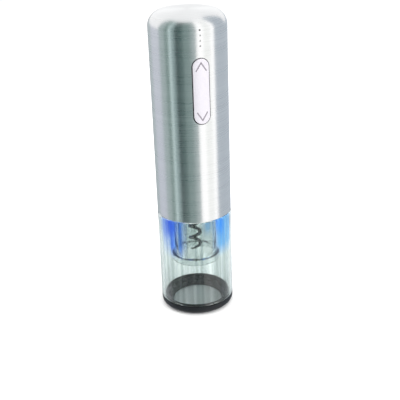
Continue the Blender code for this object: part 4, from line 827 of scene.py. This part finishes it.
for number in range(1, LED_COUNT + 1):
    low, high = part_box(f"led_{number}")
    package = start_block(f"blue_lamp_{number}", (LAMP_W, LAMP_W, high.z - low.z))
    bpy.ops.mesh.bevel(offset=0.1 * MM, segments=2)
    bpy.ops.object.mode_set(mode="OBJECT")
    package.data.materials.append(package_white)
    package.data.materials.append(lamp_window)
    select_facets(package, lambda polygon: polygon.normal.z < -0.99)
    bpy.ops.object.mode_set(mode="EDIT")
    bpy.ops.mesh.select_mode(type="FACE")
    bpy.ops.mesh.inset(thickness=LAMP_RIM)
    bpy.ops.mesh.extrude_region_move(TRANSFORM_OT_translate={"value": (0, 0, WINDOW_DEPTH)})
    package.active_material_index = 1
    bpy.ops.object.material_slot_assign()
    bpy.ops.mesh.select_mode(type="VERT")
    bpy.ops.object.mode_set(mode="OBJECT")
    package.rotation_euler = (0, 0, led_angle(number))
    package.location = (low + high) / 2
    settle(package)
    smooth(package)
    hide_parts(f"led_{number}")
    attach(package, "handle")


# ---------------------------------------------------------------------------
# The worm is a steel wire wound into an open right-handed coil with a sharp tip, and coated black so that it
# slides into the cork. Its straight shank is set in a steel carrier with two lugs.
worm_low, worm_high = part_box("worm")
PITCH, COIL_R, WIRE_R = 10.0 * MM, 3.2 * MM, 1.35 * MM
SWING, POINT = 0.75 * PITCH, 0.6 * PITCH
COIL_STEPS = 32
COIL_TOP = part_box("worm_carrier")[0].z - 2.0 * MM
COIL_DROP = COIL_TOP - worm_low.z - 0.1 * MM
count = round(COIL_DROP / PITCH * COIL_STEPS)


def coil_point(fallen):
    """The wire's centre when it has come down that far. It swings out from the shank while it turns."""
    out = min(1.0, fallen / SWING)
    radius = COIL_R * out * out * (3 - 2 * out)
    angle = -2 * pi * fallen / PITCH
    return radius * cos(angle), radius * sin(angle), COIL_TOP - fallen, 1


wire = bpy.data.curves.new("coated_worm", "CURVE")
wire.dimensions = "3D"
wire.bevel_depth = WIRE_R
wire.bevel_resolution = 8
wire.use_fill_caps = True
spline = wire.splines.new("POLY")
spline.points.add(count + 1)
spline.points[0].co = (0, 0, worm_high.z, 1)
for step in range(count + 1):
    fallen = COIL_DROP * step / count
    spline.points[step + 1].co = coil_point(fallen)
    spline.points[step + 1].radius = max(0.04, min(1.0, (COIL_DROP - fallen) / POINT) ** 0.7)
worm = bpy.data.objects.new("coated_worm", wire)
bpy.context.scene.collection.objects.link(worm)
pick(worm)
bpy.ops.object.convert(target="MESH")
worm = bpy.context.object
smooth(worm, 50)
coating, tree, shader = material("black_worm_coating")
fleck = grain(tree, 1300, 4)
mottled(tree, shader, fleck, (0.016, 0.016, 0.018), (0.05, 0.05, 0.055), 0.24, 0.42, span=(0.3, 0.7))
relief(tree, shader, fleck, 0.1, 0.03 * MM)
shader.inputs["Coat Weight"].default_value = 0.3
shader.inputs["Coat Roughness"].default_value = 0.25
worm.data.materials.append(coating)
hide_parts("worm")
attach(worm, "carriage")
dress(["worm_carrier", "drive_tube"], gear_steel)


# ---------------------------------------------------------------------------
# The fixed guide tube with its helical grooves, the gearbox's base and case and the motor's plate are moulded
# in ivory nylon. The carriers are ground steel, the planets sintered steel, the bush and the pinion bronze.
ivory = moulding("ivory_nylon", (0.66, 0.63, 0.54), (0.75, 0.73, 0.65), 0.35, 0.55, 1100)
dress(["guide_tube", "gearbox_base", "gear_case", "motor_plate"], ivory)
dress(["stage_1_carrier", "stage_2_carrier"], gear_steel)
sintered = machined("sintered_steel", (0.30, 0.30, 0.31), (0.44, 0.44, 0.45), 0.34, 0.55)
dress([f"stage_{stage}_planet_{number}" for stage in (1, 2) for number in (1, 2, 3)], sintered)
dress(["output_bush", "motor_pinion"], machined("turned_bronze", (0.50, 0.30, 0.12), (0.66, 0.43, 0.20)))
dress([f"gearbox_screw_{number}" for number in (1, 2, 3)], zinc)


# ---------------------------------------------------------------------------
# The motor is a small flat-sided can of plated steel with two ferrite magnets, a copper-wound armature and a
# black end bell. Two screws hold it to its plate.
dress(["motor_can", "motor_screw_1", "motor_screw_2"], zinc)
dress(["motor_end_bell"], black)
dress(["motor_magnet_1", "motor_magnet_2"],
      moulding("pressed_ferrite", (0.045, 0.045, 0.047), (0.09, 0.09, 0.09), 0.6, 0.8, 1800))
winding, tree, shader = material("enamelled_copper_winding")
shader.inputs["Metallic"].default_value = 0.85
shader.inputs["Coat Weight"].default_value = 0.5
shader.inputs["Coat Roughness"].default_value = 0.15
place = node(tree, "TexCoord")
turns = node(tree, "TexWave", wave_type="BANDS", bands_direction="Z", Scale=900.0, Distortion=1.5)
tree.links.new(place.outputs["Object"], turns.inputs["Vector"])
strands = turns.outputs["Fac"]
mottled(tree, shader, strands, (0.38, 0.12, 0.04), (0.72, 0.32, 0.14), 0.35, 0.2, (0.1, 0.9))
relief(tree, shader, strands, 0.5, 0.1 * MM)
dress(["armature"], winding)


# ---------------------------------------------------------------------------
# Two slim rechargeable cells in blue shrink wrap stand in a black holder behind the motor. The control board
# and the charging board are green laminate. The control board carries black chips at the back and the
# indicator's white lamps in front. The jack is black, and silicone-covered leads join them all.
wrap, tree, shader = material("blue_shrink_wrap")
creases = grain(tree, 240, 4, (1, 1, 0.3), 0.6)
mottled(tree, shader, creases, (0.03, 0.10, 0.32), (0.06, 0.19, 0.50), 0.16, 0.32)
relief(tree, shader, creases, 0.25, 0.1 * MM)
shader.inputs["Coat Weight"].default_value = 0.5
dress(["battery_cell_1", "battery_cell_2"], wrap)
dress(["battery_holder", "charge_socket"], black)
dress(["charge_board"], board_green)
BOARD_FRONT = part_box("control_board")[0].y + 0.9 * MM
BOARD_BACK = BOARD_FRONT + 1.6 * MM
BLEND = 0.05 * MM
populated, tree, shader = material("populated_board")
depth = own_space(tree)["Y"]
weave = grain(tree, 2200, 5)
laminate = tones(tree, weave, (0.3, LAMINATE[0]), (0.8, LAMINATE[1]))
chips = tones(tree, grain(tree, 1600, 4), (0.3, (0.012, 0.012, 0.014)), (0.8, (0.03, 0.03, 0.034)))
lamps = tones(tree, grain(tree, 2600, 3), (0.3, (0.70, 0.71, 0.70)), (0.8, (0.80, 0.81, 0.80)))
behind = between(tree, depth, 0, 1, BOARD_BACK, BOARD_BACK + BLEND)
before = between(tree, depth, 0, 1, BOARD_FRONT, BOARD_FRONT - BLEND)
shade = mixed(tree, before, mixed(tree, behind, laminate, chips), lamps)
tree.links.new(shade, shader.inputs["Base Color"])
tree.links.new(between(tree, weave, 0.25, 0.42, 0.3, 0.7), shader.inputs["Roughness"])
dress(["control_board"], populated)
dress(["motor_lead_red", "battery_lead"],
      moulding("red_lead_cover", (0.42, 0.02, 0.02), (0.58, 0.04, 0.04), 0.45, 0.6, 1200))
dress(["motor_lead_black"],
      moulding("black_lead_cover", (0.014, 0.014, 0.014), (0.03, 0.03, 0.03), 0.45, 0.6, 1200))


# ---------------------------------------------------------------------------
# The frame is two halves of black glass-filled nylon that four screws hold together round everything inside.
frame_plastic = moulding("glass_filled_nylon", (0.07, 0.07, 0.078), (0.12, 0.12, 0.13), 0.45, 0.65,
                         800, 0.05 * MM)
dress(["chassis_front", "chassis_back"], frame_plastic)
dress([f"chassis_screw_{number}" for number in (1, 2, 3, 4)], zinc)
